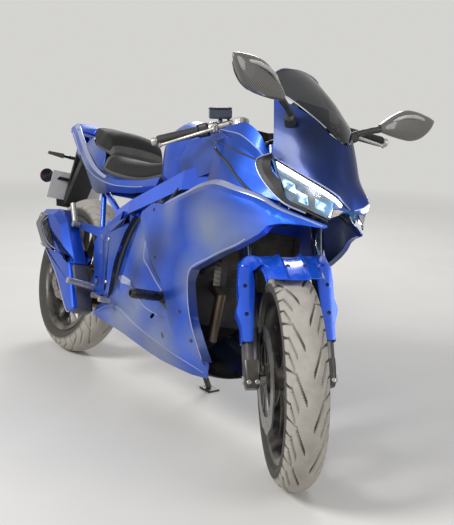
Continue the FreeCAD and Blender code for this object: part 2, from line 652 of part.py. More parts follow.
# Seats: a low rider seat and a stepped pillion pad
place("rider_seat", rings([
    (-106 - SEAT_GAP, [(0, 806), (44, 800), (58, 780), (52, 742), (0, 742)]),
    (-200, [(0, 790), (70, 782), (92, 752), (88, 708), (0, 708)]),
    (-330, [(0, 782), (104, 774), (134, 742), (128, 706), (0, 706)]),
    (-430, [(0, 790), (108, 782), (132, 752), (122, 716), (0, 716)])]).cut(main_frame))
place("pillion_seat", rings(fitted_line([
    (-432, [(0, 800), (88, 798), (104, 790), (100, 772), (0, 772)]),
    (-470, [(0, 858), (92, 850), (118, 826), (112, 784), (0, 784)]),
    (-640, [(0, 882), (92, 876), (112, 852), (104, 820), (0, 820)]),
    (-790, [(0, 888), (66, 882), (80, 862), (72, 842), (0, 842)])])).cut(main_frame))

# Tail cowl: a side wing on each side that rises to the rear, joined by a bridge over the lamp
tail_rows = [
    [(-30, -128, 742), (-180, -122, 716), (-330, -140, 702), (-470, -140, 730), (-640, -118, 800),
     (-800, -84, 866), (-880, -62, 886)],
    [(-30, -136, 712), (-180, -140, 690), (-330, -150, 682), (-500, -146, 706), (-660, -122, 762),
     (-810, -90, 822), (-930, -60, 858)],
    [(-30, -124, 700), (-200, -124, 668), (-330, -128, 655), (-470, -126, 640), (-640, -104, 716),
     (-800, -78, 782), (-930, -50, 830)]]
tail_side = sheet([fitted_line(row) for row in tail_rows], V(0, 1, 0.1), 4)
bridge = rings([
    (-806, [(0, 878), (60, 874), (83, 862), (80, 852), (0, 858)]),
    (-880, [(0, 888), (56, 884), (62, 872), (58, 862), (0, 866)]),
    (-950, [(0, 872), (50, 866), (54, 852), (46, 840), (0, 842)])])
bridge.translate(TAIL)
undertray = sheet([
    [(x, -y, z), (x, 0, z + 6), (x, y, z)] for x, y, z in
    fitted_line([(-470, 124, 640), (-640, 102, 716), (-800, 76, 782), (-930, 48, 830)])],
    V(0, 0, 1), 4)
tail = fused([tail_side, mirrored(tail_side), bridge, undertray])
place("tail_cowl", tail.cut(main_frame))
lamp = rings([
    (-951, [(0, 866), (40, 862), (44, 850), (38, 842), (0, 842)]),
    (-966, [(0, 862), (34, 858), (38, 850), (32, 844), (0, 844)])])
lamp.translate(TAIL)
place("tail_lamp", lamp)

# Plate hanger: a V-shaped strut below the tail, with the lamps' crossbar
hang = side_prism([(-798, 750), (-788, 778), (-812, 782), (-880, 790), (-912, 560), (-900, 545),
                   (-884, 560)], -42, 42)
hang = hang.cut(side_prism([(-832, 742), (-872, 760), (-893, 610)], -60, 60))
crossbar = rod(V(-893, -64, 742), V(-893, 64, 742), 7)
flap = block(V(-908, 0, 566), V(-892, 0, 540), V(0, 1, 0), 4, 150)
hang = fused([hang, crossbar, flap])
hang.translate(TAIL)
place("plate_hanger", hang.cut(main_frame))
plate_top = V(-898.5, 0, 680)
plate_low = V(-914.5, 0, 566)
number_plate = block(plate_low, plate_top, V(1, 0, 0), 230, 1.5)
number_plate.translate(V(-2, 0, 0) + TAIL)
place("number_plate", number_plate.cut(hang))
stalk = rod(V(-893, -64, 742), V(-893, -96, 742), 6)
body = block(V(-893, -90, 742), V(-905, -152, 744), V(0, 0, 1), 26, 20, 14, 12)
indicator = fused([stalk, body])
indicator.translate(TAIL)
place("rear_indicators", both(indicator))
reflector = rod(V(-915, -132, 652), V(-921, -132, 652), 28)
reflector_arm = block(V(-896, -30, 650), V(-917, -132, 652), V(0, 0, 1), 8, 14)
reflector = fused([reflector, reflector_arm])
reflector.translate(TAIL)
place("rear_reflector", reflector.cut(drawn["number_plate"]).cut(drawn["plate_hanger"]))

# Front cowl: the beak and the sides that rise round the screen
cowl_side = sheet([
    [(746, 0, 763), (738, -60, 795), (640, -98, 828), (538, -132, 860)],
    [(724, 0, 815), (700, -50, 838), (620, -97, 870), (526, -132, 905)],
    [(697, 0, 871), (672, -45, 890), (600, -92, 925), (505, -129, 955)],
    [(668, 0, 928), (640, -40, 948), (580, -74, 988), (470, -122, 1026)]], V(-0.8, 0.35, -0.3), 4)
cowl_side.translate(NOSE)
place("nose_cowl", fused([cowl_side, mirrored(cowl_side)]))

# Cowl wings: pointed blades that run back from the lamps beside the tank
wing = sheet([
    [(318, -166, 914), (366, -168, 926), (430, -164, 938), (490, -153, 912), (528, -140, 866)],
    [(318, -168, 911), (366, -172, 908), (430, -172, 902), (494, -161, 876), (544, -139, 843)],
    [(319, -166, 907), (366, -168, 892), (430, -168, 874), (496, -158, 848), (564, -137, 820)]],
    V(0, 1, 0), 4)
wing.translate(NOSE)
place("cowl_wings", both(wing))

# Headlamps: a clear-fronted wedge under each brow, with its tip beside the beak
lamp = sheet([
    [(549, -128, 850), (640, -95, 820), (732, -60, 788), (740, -16, 760)],
    [(592, -128, 800), (662, -99, 780), (735, -60, 757), (739, -36, 746)],
    [(635, -125, 754), (686, -97, 742), (734, -63, 729), (735, -58, 731)]], V(-0.9, 0.3, 0.1), 30)
lamp.translate(NOSE)
place("headlamps", both(lamp))

# Lamp housing behind both lamps, and the stay from the head tube that carries the whole front
housing = rings([
    (546, [(0, 852), (82, 842), (94, 802), (86, 780), (0, 780)]),
    (630, [(0, 842), (56, 832), (62, 782), (56, 756), (0, 756)]),
    (694, [(0, 800), (26, 790), (32, 764), (26, 752), (0, 752)])])
housing.translate(NOSE)
place("lamp_housing", housing)
STAY_Z = 818.0
stay_out = on_axis(STAY_Z) + FORK_AHEAD * 142
stay = block(on_axis(STAY_Z) + FORK_AHEAD * (HEAD_OUTER_R - 6), stay_out, V(0, 0, 1), 44, 36)
bow = V(stay_out.x - 8, 0, stay_out.z)
mirror_root = V(548.0, -100.0, 966.0) + NOSE
bow_end = V(524.0, -98.0, 900.0) + NOSE
half_bow = bent_rod([bow, bow_end, mirror_root], 9)
dash_root = V(496.0, 0.0, 972.0) + NOSE
riser = rod(bow, dash_root, 9)
prop = rod(bow, V(575, 0, 836) + NOSE, 9)
stay = fused([stay, half_bow, mirrored(half_bow), riser, prop])
stay = stay.cut(housing).cut(main_frame).cut(drawn["nose_cowl"])
stay = max(stay.Solids, key=lambda solid: solid.Volume)

# Windscreen: a dark bubble that rises from the cowl
screen_rows = []
for x0, z0, half, drop_x, drop_z in ((664, 934, 16, 2, 1), (612, 990, 62, 14, 10),
                                     (545, 1046, 92, 32, 24), (480, 1088, 108, 44, 40),
                                     (432, 1114, 100, 30, 34), (409, 1124, 70, 8, 10)):
    row = []
    for k in range(-3, 4):
        share = k / 3.0
        row.append((x0 - drop_x * share ** 2, -half * share, z0 - drop_z * share ** 2))
    screen_rows.append(row)
screen = sheet(screen_rows, V(-0.5, 0, -0.85), 3)
screen.translate(NOSE)
screen = screen.cut(drawn["nose_cowl"])
place("windscreen", screen)

# Dash behind the screen
dash = block(V(496, -58, 990), V(496, 58, 990), V(-0.5, 0, 1), 34, 72)
dash.translate(NOSE)
place("instrument_pod", dash)
stay = stay.cut(dash)

# Mirrors: a stem from each side of the cowl, a tapering housing and its glass
stem_low = V(556, -100, 966)
stem_top = V(588, -196, 1012)
shell = block(V(588, -180, 1010), V(604, -372, 1044), V(0, 0, 1), 34, 40, 26, 92)
stalks = fused([bent_rod([stem_low, V(572, -150, 992), stem_top], 9), shell])
stalks.translate(NOSE)
shell.translate(NOSE)
stalks = stalks.cut(drawn["nose_cowl"])
stalks = max(stalks.Solids, key=lambda solid: solid.Volume)
place("mirrors", both(stalks))
glass = block(V(571, -200, 1012), V(588, -366, 1042), V(0, 0, 1), 2, 30, 2, 76)
glass.translate(NOSE)
place("mirror_glass", both(glass.cut(shell)))

# Side fairing: one large outer panel from under the lamp to the belly on each side
FAIRING_X = [fitted(x) for x in (-60, 110, 260, 400, 520, 620, 760)]
FAIRING_Z = (
    (790, (150, 160, 180, 190, 175, 120, 40)),
    (735, (156, 176, 206, 218, 196, 142, 58)),
    (690, (160, 188, 214, 214, 192, 147, 60)),
    (620, (162, 186, 202, 198, 184, 145, 60)),
    (540, (160, 177, 187, 184, 176, 140, 60)),
    (440, (154, 167, 173, 166, 150, 120, 60)),
    (230, (140, 149, 146, 100, 88, 80, 60)))
fairing_outline = [(-37, 606), (-30, 622), (50, 658), (130, 664), (230, 706), (400, 769),
                   (477, 764), (563, 755), (616, 736), (682, 722), (740, 712), (736, 704),
                   (690, 700), (639, 691), (608, 677), (594, 654), (562, 627), (520, 597),
                   (343, 505), (327, 470), (346, 365), (394, 249), (386, 246), (310, 280),
                   (262, 318), (218, 389), (175, 438), (102, 479), (31, 540)]
sheet_right = side_sheet(FAIRING_X, FAIRING_Z, 4)
fairing = sheet_right.common(side_prism(fitted_line(fairing_outline), -260, 0))


def net_y(xs, table, x, z):
    """Outer half-width of a side panel at a point of its side view."""
    heights = [row[0] for row in table]
    i = max(k for k in range(len(heights) - 1) if heights[k] >= z)
    j = max(k for k in range(len(xs) - 1) if xs[k] <= x)
    u = (heights[i] - z) / (heights[i] - heights[i + 1])
    w = (x - xs[j]) / (xs[j + 1] - xs[j])
    above, below = table[i][1], table[i + 1][1]
    upper = above[j] * (1 - w) + above[j + 1] * w
    lower = below[j] * (1 - w) + below[j + 1] * w
    return upper * (1 - u) + lower * u


# Inner flange that turns in along the radiator arch and down the leading edge of the leg
flange_line = [(639, 691), (608, 677), (562, 627), (520, 597), (343, 505), (327, 470),
               (346, 365), (394, 249)]
flange_rows = []
for x, z in fitted_line(flange_line):
    y = net_y(FAIRING_X, FAIRING_Z, x, z) - 2
    flange_rows.append([(x, -y, z), (x + 2, -y + 24, z + 1)])
flange = sheet(flange_rows, V(-0.75, 0, 0.65), 3)
fairing = fused([fairing, flange])
place("side_fairing_right", fairing)
place("side_fairing_left", mirrored(fairing))

# Lower fairing: an inner panel behind the leg and the belly panel below it
LOWER_X = [fitted(x) for x in (-300, -160, 0, 150, 300, 400)]
LOWER_Z = (
    (640, (112, 124, 138, 146, 140, 90)),
    (520, (118, 132, 146, 150, 144, 90)),
    (400, (124, 136, 150, 150, 140, 88)),
    (330, (132, 142, 146, 144, 132, 84)),
    (270, (140, 146, 150, 148, 128, 80)),
    (180, (112, 116, 118, 112, 92, 66)))
lower_outline = [(-285, 225), (-208, 280), (-176, 310), (-158, 362), (-156, 440), (-149, 512),
                 (-116, 600), (-50, 612), (60, 570), (190, 450), (250, 360), (330, 280),
                 (392, 244), (393, 200), (332, 193), (186, 195), (-48, 219)]
lower = side_sheet(LOWER_X, LOWER_Z, 4).common(side_prism(fitted_line(lower_outline), -260, 0))
lower = lower.cut(rod(V(128, -260, 318), V(128, 0, 318), 9))
lower = lower.cut(rod(V(175, -260, 388), V(175, 0, 388), SPOOL_R + 1))
place("lower_fairing_right", lower)
stand_notch = side_prism([(-320, 160), (-320, 322), (-30, 322), (30, 160)], 0, 260)
place("lower_fairing_left", mirrored(lower).cut(stand_notch))
keel_rows = []
for x, z in fitted_line([(-200, 228), (0, 224), (186, 206), (330, 204), (380, 210)]):
    y = net_y(LOWER_X, LOWER_Z, x, z) - 4.2
    keel_rows.append([(x, -y, z), (x, -y * 0.6, z - 8), (x, 0, z - 12), (x, y * 0.6, z - 8),
                      (x, y, z)])
keel = sheet(keel_rows, V(0, 0, 1), 4).cut(stand_notch)
place("belly_keel", keel.cut(drawn["engine_block"]))

# Crash bobbins: sleeves that stand out of the fairing on a bolt into the engine
spool = fused([pipe(V(175, -150, 388), V(175, -262, 388), SPOOL_R, 7),
               rod(V(175, -ENGINE_HALF, 388), V(175, -252, 388), 7)])
place("crash_bobbins", both(spool))

# Lugs that hold the panels to the frame, the engine and each other
lugs = []
for x, root_y, root_z, z in ((300, 112, 765, 714), (130, 145, 722, 646),
                             (235, ENGINE_HALF, 500, 500), (244, ENGINE_HALF, 388, 388),
                             (404, 134, 575, 575)):
    tip = V(x, -net_y(FAIRING_X, FAIRING_Z, x, z), z)
    lugs.append(rod(V(x, -root_y, root_z), tip, 6))
for x, z in ((-60, 340), (60, 300), (60, 560), (200, 290)):
    lugs.append(rod(V(x, -ENGINE_HALF, z), V(x, -net_y(LOWER_X, LOWER_Z, x, z), z), 7))
brow_y = net_y(FAIRING_X, FAIRING_Z, 620 + NOSE.x, 722)
edge_y = net_y(FAIRING_X, FAIRING_Z, 470 + NOSE.x, 750)
for root, tip in ((V(560, -80, 780), V(620, -brow_y, 722)),
                  (V(470, -edge_y, 750), V(470, -160, 878)),
                  (V(600, -60, 790), V(620, -100, 790)),
                  (V(600, -40, 830), V(636, -76, 860)),
                  (V(505, -110, 905), V(500, -160, 880))):
    lugs.append(rod(root + NOSE, tip + NOSE, 6))
lugs.append(rod(V(396, -80, 600), V(200, -80, 600), 7))
lugs.append(rod(V(100, -60, 266), V(100, -60, 200), 7))
keepers = [drawn[name] for name in ("main_frame", "radiator", "headlamps", "lamp_housing",
                                    "side_fairing_right", "lower_fairing_right", "cowl_wings",
                                    "belly_keel", "nose_cowl", "engine_block")]
keepers.append(stay)
cut_lugs = []
for lug in lugs:
    for keeper in keepers:
        lug = lug.cut(keeper)
    cut_lugs.append(max(lug.Solids, key=lambda solid: solid.Volume))
left_lugs = [mirrored(lug).cut(drawn["belly_keel"]) for lug in cut_lugs]
place("fairing_stay", group([stay] + cut_lugs + left_lugs))

# Swingarm, its pivot, the rear axle and the shock
arm = fused([
    bar([(PIVOT_X + 26, -SWINGARM_Y, PIVOT_Z, 26, 56), (-400, -SWINGARM_Y, 338, 26, 62),
         (BOBBIN_X, -SWINGARM_Y, REAR_AXLE.z + 4, SWINGARM_WALL, 44),
         (REAR_AXLE.x - 50, -SWINGARM_Y, REAR_AXLE.z, SWINGARM_WALL, 40)])])
tie = bar([(-350, 0, 340, 2 * SWINGARM_Y, 40), (-304, 0, 342, 2 * SWINGARM_Y, 40)])
spool_boss = rod(V(BOBBIN_X, -SWINGARM_Y, BOBBIN_Z), V(BOBBIN_X, -SWINGARM_Y - BOBBIN_OUT, BOBBIN_Z), 13)
swingarm = fused([arm, mirrored(arm), tie, spool_boss, mirrored(spool_boss)])
axle_slot = rod(REAR_AXLE + V(0, -200, 0), REAR_AXLE + V(0, 200, 0), AXLE_R)
threads = rod(V(BOBBIN_X, -200, BOBBIN_Z), V(BOBBIN_X, 200, BOBBIN_Z), BOBBIN_HOLE_R)
swingarm = swingarm.cut(axle_slot).cut(pivot_hole).cut(threads)
place("swingarm", swingarm)
pivot = rod(V(PIVOT_X, -FRAME_Y - 20, PIVOT_Z), V(PIVOT_X, FRAME_Y + 20, PIVOT_Z), AXLE_R)
rear_axle = rod(REAR_AXLE + V(0, -136, 0), REAR_AXLE + V(0, 136, 0), AXLE_R)
spacers = [pipe(REAR_AXLE + V(0, s * (REAR_HUB_HALF + 1 + extra), 0),
                REAR_AXLE + V(0, s * (SWINGARM_Y - 13), 0), AXLE_R + 3, AXLE_R)
           for s, extra in ((-1, 0), (1, 0))]
place("rear_axle", group([fused([rear_axle] + spacers), pivot]))
shock_low = V(-322, 0, 372)
shock_top = V(-262, 0, 566)
shock_dir = (shock_top - shock_low).normalize()
coils = [rod(shock_low + shock_dir * (44 + 17 * k), shock_low + shock_dir * (53 + 17 * k), 31)
         for k in range(7)]
damper = fused([rod(shock_low - shock_dir * 12, shock_top, 20)] + coils)
place("rear_shock", damper.cut(main_frame).cut(swingarm))

# Rear caliper under the right arm, with its slot
rear_slot = rod(REAR_AXLE + V(0, -REAR_DISC_Y - DISC_T / 2 - PAD_GAP, 0),
                REAR_AXLE + V(0, -REAR_DISC_Y + DISC_T / 2 + PAD_GAP, 0), REAR_DISC_R + 4)
rear_caliper = block(REAR_AXLE + V(73, -79, 46), REAR_AXLE + V(125, -79, 10), V(0, 1, 0), 62, 42)
rear_caliper = rear_caliper.cut(rear_slot).cut(swingarm)
tyre_low = REAR_TYRE_R - REAR_CROWN - 2
tyre_room = lathe([(-REAR_TYRE_HALF, tyre_low), (REAR_TYRE_HALF, tyre_low),
                   (REAR_TYRE_HALF, REAR_TYRE_R + 1), (-REAR_TYRE_HALF, REAR_TYRE_R + 1)], REAR_AXLE)
rear_caliper = rear_caliper.cut(tyre_room)
place("rear_caliper", rear_caliper)

# Exhaust: a header from the engine front, under the engine, to the silencer on the right
header = bent_rod([V(256, -30, 455), V(304, -30, 430), V(306, -30, 300), V(250, -30, 243),
                   V(-200, -30, 243), V(-286, -80, 252), V(-300, -112, 262),
                   V(-300, -150, 262)], 17)
place("exhaust_header", header.cut(engine))
can = side_prism([(-673, 533), (-545, 551), (-470, 522), (-332, 384), (-487, 384), (-598, 388),
                  (-711, 471)], -232, -148)
cover = side_prism([(-487, 384), (-330, 383), (-236, 240), (-262, 222), (-300, 232)], -226, -150)
edges = [e for e in can.Edges if abs(e.tangentAt(e.FirstParameter).y) < 0.1
         and e.BoundBox.YMax < -231]
can = can.makeChamfer(22, edges)
edges = [e for e in cover.Edges if abs(e.tangentAt(e.FirstParameter).y) < 0.1
         and e.BoundBox.YMax < -225]
cover = cover.makeChamfer(12, edges)
outlet = pipe(V(-692, -182, 502), V(-710, -182, 513), 22, 17)
silencer = group([can, cover, outlet])
place("muffler", silencer)

# Footrest plates, pegs, brake pedal, gear lever and the pillion hangers
rest_plate = side_prism([(-171, 605), (-196, 455), (-176, 322), (-244, 293), (-330, 470),
                         (-300, 520)], -FRAME_Y - 12.5, -FRAME_Y - 20)
rest_plate = rest_plate.cut(rod(V(PIVOT_X, -200, PIVOT_Z), V(PIVOT_X, 0, PIVOT_Z), AXLE_R + 8))
hang_arm = bar([(-300, -FRAME_Y - 16, 510, 7, 34), (-446, -FRAME_Y - 34, 514, 9, 22)])
heel = side_prism([(-241, 437), (-262, 420), (-196, 332), (-162, 350)], -FRAME_Y - 20,
                  -FRAME_Y - 24)
place("footrest_brackets", both(fused([rest_plate, hang_arm, heel])))
peg = rod(V(-262, -FRAME_Y - 20, 322), V(-262, -262, 336), 11)
fold_at = V(-438, -FRAME_Y - 38, 514)
fold = fused([rod(fold_at, fold_at + V(0, -26, 0), 11),
              rod(fold_at + V(0, -16, 0), fold_at + V(-52, -16, 66), 10)])
place("footrests", both(fold).cut(drawn["footrest_brackets"]).cut(silencer))
place("foot_pegs", both(peg.cut(drawn["footrest_brackets"])))
pedal = fused([rod(V(-236, -FRAME_Y - 30, 300), V(-96, -FRAME_Y - 46, 310), 6),
               rod(V(-96, -FRAME_Y - 40, 310), V(-92, -FRAME_Y - 82, 312), 8),
               rod(V(-236, -FRAME_Y - 20, 300), V(-236, -FRAME_Y - 36, 300), 10)])
place("foot_levers", both(pedal))

# Side stand on the left: an eye on a pin through a lug, a leg and a flat foot on the ground
stand_lug = side_prism([(-112, 300), (-36, 300), (-30, 250), (-70, 232), (-112, 250)],
                       ENGINE_HALF, STAND_PIVOT.y - STAND_EYE_R - STAND_GAP)
foot_w = STANCE.multVec(V(STAND_FOOT_X, STAND_FOOT_Y, 60.0))
foot_w = V(foot_w.x, foot_w.y, 0)
STAND_DOWN = (STANCE.inverse().multVec(foot_w) - STAND_PIVOT).normalize()
STAND_AXIS = STAND_DOWN.cross(STAND_FOLDED).normalize()
pin = fused([rod(STAND_PIVOT - STAND_AXIS * 18, STAND_PIVOT + STAND_AXIS * 18, 5),
             rod(STAND_PIVOT + STAND_AXIS * 14, STAND_PIVOT + STAND_AXIS * 18, 8)])
place("stand_bracket", fused([stand_lug, pin]))
pivot_w = STANCE.multVec(STAND_PIVOT)
axis_w = STANCE.Rotation.multVec(STAND_AXIS)
leg = rod(pivot_w, foot_w + V(0, 0, 8), 10)
sole = Part.makeBox(62, 44, 7, V(foot_w.x - 31, foot_w.y - 20, 0))
eye = Part.makeSphere(STAND_EYE_R, pivot_w)
eye_hole = rod(pivot_w - axis_w * 30, pivot_w + axis_w * 30, 5 + RUN_GAP)
nodes["side_stand"] = fused([leg, sole, eye]).cut(eye_hole)

os.makedirs("parts", exist_ok=True)
for name in sorted(nodes):
    shape = nodes[name]
    bad = not shape.isValid() or shape.Volume <= 0
    print("%-22s solids %d volume %.0f%s" % (name, len(shape.Solids), shape.Volume,
                                             " BAD" if bad else ""))
    shape.exportStep("parts/" + name + ".step")
total = Part.makeCompound(list(nodes.values())).BoundBox
print("box", [round(v, 1) for v in (total.XMin, total.XMax, total.YMin, total.YMax,
                                    total.ZMin, total.ZMax)])
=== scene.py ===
import json
import math

import bmesh
import bpy
import numpy as np
from mathutils import Matrix
from mathutils.geometry import delaunay_2d_cdt


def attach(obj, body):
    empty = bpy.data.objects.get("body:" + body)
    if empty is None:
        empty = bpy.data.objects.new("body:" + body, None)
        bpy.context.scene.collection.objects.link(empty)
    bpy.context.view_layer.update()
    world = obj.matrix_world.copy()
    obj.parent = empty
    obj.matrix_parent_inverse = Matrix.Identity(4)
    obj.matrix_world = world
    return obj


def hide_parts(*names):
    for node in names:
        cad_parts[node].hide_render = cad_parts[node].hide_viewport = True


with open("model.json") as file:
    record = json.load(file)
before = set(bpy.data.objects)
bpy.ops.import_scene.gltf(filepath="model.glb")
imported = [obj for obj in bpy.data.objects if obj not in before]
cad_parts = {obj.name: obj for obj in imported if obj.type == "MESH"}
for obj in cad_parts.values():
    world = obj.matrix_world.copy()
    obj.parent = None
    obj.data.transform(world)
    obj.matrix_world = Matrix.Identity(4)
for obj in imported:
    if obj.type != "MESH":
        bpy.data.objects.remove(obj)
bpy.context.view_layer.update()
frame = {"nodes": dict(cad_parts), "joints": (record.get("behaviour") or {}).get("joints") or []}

# Main frame: two welded steel spars, pivot plates and the rear subframe, sprayed gloss blue and
# bolted to the engine; the solids of the model are the real tubes, so they only get their paint.
# Shapes are worked out in millimetres on the upright machine, X forward, Y left, Z up; it is
# parked leaning on its side stand, and park() takes them there.
MM = 0.001
LEAN = math.radians(13.0)
PITCH = math.radians(-0.145)
WHEELBASE = 1370.0
REAR_R = 302.0
REAR_AXLE = np.array([-WHEELBASE / 2, 0.0, REAR_R])


def turn_about(axis, angle):
    """Rotation matrix about an axis, by Rodrigues' formula."""
    x, y, z = np.asarray(axis, float) / np.linalg.norm(axis)
    k = np.array([[0, -z, y], [z, 0, -x], [-y, x, 0]])
    return np.eye(3) + math.sin(angle) * k + (1 - math.cos(angle)) * k @ k


stance_turn = turn_about((0, 1, 0), PITCH) @ turn_about((1, 0, 0), -LEAN)
joints = {joint["name"]: joint for joint in frame["joints"]}
stance_move = np.array(joints["rear_wheel"]["pos_m"]) - stance_turn @ REAR_AXLE * MM


def park(points):
    """Upright millimetres to the leaning motorcycle in metres: turn, scale, move."""
    return np.asarray(points, float) @ stance_turn.T * MM + stance_move


class Wire:
    """A node's output; sums of wires add Math nodes."""

    def __init__(self, finish, socket):
        self.finish = finish
        self.socket = socket

    def sum(self, operation, *values):
        return self.finish.add("ShaderNodeMath", {"operation": operation}, values)

    def __add__(self, other):
        return self.sum("ADD", self, other)

    def __radd__(self, other):
        return self.sum("ADD", other, self)

    def __sub__(self, other):
        return self.sum("SUBTRACT", self, other)

    def __rsub__(self, other):
        return self.sum("SUBTRACT", other, self)

    def __mul__(self, other):
        return self.sum("MULTIPLY", self, other)

    def __rmul__(self, other):
        return self.sum("MULTIPLY", other, self)

    def __truediv__(self, other):
        return self.sum("DIVIDE", self, other)

    def clip(self, low, high):
        """0 below low, 1 above high, a straight ramp between."""
        return self.finish.add("ShaderNodeMapRange", {"clamp": True},
                               {"Value": self, "From Min": low, "From Max": high})


class Finish:
    """One material: a Principled shader and the nodes that feed it."""

    def __init__(self, name, **values):
        self.material = bpy.data.materials.new(name)
        self.material.use_nodes = True
        self.tree = self.material.node_tree
        self.shader = self.tree.nodes["Principled BSDF"]
        self.spot = self.add("ShaderNodeTexCoord", {}, {}, "Object")
        for key, value in values.items():
            self.set(key.replace("_", " ").title().replace("Ior", "IOR"), value)

    def plug(self, target, value):
        if isinstance(value, Wire):
            self.tree.links.new(value.socket, target)
        elif isinstance(value, tuple) and len(value) == 3 and target.type == "RGBA":
            target.default_value = value + (1.0,)
        else:
            target.default_value = value

    def add(self, kind, settings, values, output=0):
        node = self.tree.nodes.new(kind)
        for key, value in settings.items():
            setattr(node, key, value)
        pairs = values.items() if isinstance(values, dict) else enumerate(values)
        for key, value in pairs:
            self.plug(node.inputs[key], value)
        return Wire(self, node.outputs[output])

    def set(self, key, value):
        self.plug(self.shader.inputs[key], value)

    def noise(self, scale, detail=2.0, spot=None, rough=0.5):
        """Soft random field, 0 to 1, with cells of about 1 / scale metres."""
        return self.add("ShaderNodeTexNoise", {},
                        {"Vector": spot or self.spot, "Scale": scale, "Detail": detail,
                         "Roughness": rough})

    def mix(self, share, first, second):
        """Colour that goes from the first to the second as share goes from 0 to 1."""
        node = self.tree.nodes.new("ShaderNodeMix")
        node.data_type = "RGBA"
        for key, value in ((0, share), (6, first), (7, second)):
            self.plug(node.inputs[key], value)
        return Wire(self, node.outputs[2])

    def height(self):
        """Height above the ground in metres."""
        return self.add("ShaderNodeSeparateXYZ", {}, {"Vector": self.spot}, "Z")

    def near(self, x, z, radius):
        """1 at a point of the side view in upright millimetres, down to 0 at a radius in metres."""
        flat = self.add("ShaderNodeVectorMath", {"operation": "MULTIPLY"},
                        {0: self.spot, 1: (1.0, 0.0, 1.0)})
        middle = park([(x, 0, z)])[0]
        far = self.add("ShaderNodeVectorMath", {"operation": "DISTANCE"},
                       {0: flat, 1: (float(middle[0]), 0.0, float(middle[2]))}, "Value")
        return 1.0 - far.clip(radius * 0.15, radius)

    def bump(self, field, depth, strength=1.0):
        """Surface relief: field is 0 to 1 and depth is in metres."""
        node = self.add("ShaderNodeBump", {}, {"Height": field, "Distance": depth,
                                               "Strength": strength}, "Normal")
        self.set("Normal", node)


DUST = (0.36, 0.31, 0.24)


def dusty(finish, colour, share, top=0.55):
    """The colour under road dust, which thins out from the ground up to a height."""
    low = 1.0 - finish.height().clip(0.0, top)
    patch = finish.noise(14.0, 4.0).clip(0.35, 0.7)
    return finish.mix(low * patch * share, colour, DUST)


def moulded(name, colour, rough, grain=0.00012, dust=0.35, metallic=0.0):
    """Moulded plastic or cast metal: an even colour with a fine grain and some road dust."""
    finish = Finish(name, metallic=metallic)
    cloud = finish.noise(30.0, 3.0)
    brighter = tuple(min(1.0, channel * 1.6 + 0.004) for channel in colour)
    finish.set("Base Color", dusty(finish, finish.mix(cloud, colour, brighter), dust))
    finish.set("Roughness", finish.noise(60.0, 2.0) * 0.18 + (rough - 0.09))
    finish.bump(finish.noise(900.0, 2.0), grain)
    return finish.material


def wear(node_names, material):
    """Give CAD nodes a material."""
    for node_name in node_names:
        slots = frame["nodes"][node_name].data.materials
        slots.clear()
        slots.append(material)


def sprayed(name, rough, metallic, coat, dust, deep, bright, haze=0.0, pale=(), shade_spots=()):
    """Blue metallic spray: cloudy depth and fine flake under a clear coat, with a silver haze at
    random, painted sheen as silver patches and painted shade as near-black patches at (x, z,
    radius, strength), and road dust low down."""
    finish = Finish(name, coat_roughness=0.12)
    cloud = finish.noise(5.0, 3.0).clip(0.3, 0.7)
    flake = finish.noise(1500.0, 1.0).clip(0.45, 0.62)
    colour = finish.mix(cloud * 0.75 + flake * 0.25, deep, bright)
    if haze:
        ragged = finish.noise(9.0, 3.0) * 0.5 + 0.62
        colour = finish.mix(finish.noise(3.6, 2.0).clip(0.50, 0.66) * haze, colour, (0.125, 0.17, 0.27))
        # Painted sheen: silver patches where light catches the paint; painted shade: near-black patches.
        for x, z, radius, strength in pale:
            colour = finish.mix(finish.near(x, z, radius) * ragged * strength, colour, (0.225, 0.27, 0.37))
        for x, z, radius, strength in shade_spots:
            colour = finish.mix(finish.near(x, z, radius) * ragged * strength, colour,
                                (0.003, 0.010, 0.030))
    finish.set("Base Color", dusty(finish, colour, dust))
    low = 1.0 - finish.height().clip(0.05, 0.5)
    finish.set("Roughness", finish.noise(24.0, 3.0) * 0.12 + low * 0.14 + (rough - 0.06))
    finish.set("Metallic", metallic)
    finish.set("Coat Weight", coat)
    finish.bump(finish.noise(70.0, 1.0), 0.00025, 0.3)
    return finish.material


frame_blue = sprayed("frame_blue", 0.25, 0.25, 0.8, 0.3, (0.002, 0.042, 0.40), (0.003, 0.115, 0.86))
# Painted sheen and painted shade on the satin blue: silver patches where light catches it, near-black
# patches where it lies in shade, at (x, z, radius, strength).
PAINTED_SHEEN_SPOTS = ((410, 690, 0.13, 0.95), (520, 650, 0.13, 0.75), (360, 510, 0.11, 0.85), (-14, 560, 0.09, 0.8),
              (-60, 290, 0.16, 0.95), (190, 262, 0.16, 0.85), (20, 352, 0.10, 0.7), (-600, 800, 0.10, 0.6),
              (372, 330, 0.08, 0.5), (200, 700, 0.07, 0.5))
PAINTED_SHADE_SPOTS = ((112, 560, 0.10, 0.75), (560, 590, 0.10, 0.7), (-21, 450, 0.07, 0.6), (640, 905, 0.15, 0.95),
               (720, 850, 0.10, 0.7), (-420, 660, 0.16, 0.85), (300, 800, 0.09, 0.6), (250, 420, 0.07, 0.5),
               (120, 820, 0.06, 0.6), (400, 890, 0.11, 0.55))
paint = sprayed("satin_blue", 0.36, 0.62, 0.30, 0.2, (0.003, 0.042, 0.35), (0.006, 0.098, 0.66), 0.45,
                PAINTED_SHEEN_SPOTS, PAINTED_SHADE_SPOTS)
# Painted highlight: a pale silver-blue spray for thin strips along edges and creases where light catches
# them.
edge_silver = sprayed("edge_silver", 0.30, 0.6, 0.5, 0.2, (0.22, 0.25, 0.42), (0.42, 0.46, 0.66))
wear(["main_frame"], frame_blue)
black_paint = moulded("black_enamel", (0.012, 0.012, 0.014), 0.34, 0.00005, 0.25, 0.3)
wear(["stand_bracket", "side_stand", "rear_shock"], black_paint)

# Engine and gearbox: a cast block with a bolted cover on each side, and the coolant hose that
# runs back to it from the radiator. The block itself is the model's solid.
UP = np.array([0.0, 0.0, 1.0])
LEFT = np.array([0.0, 1.0, 0.0])


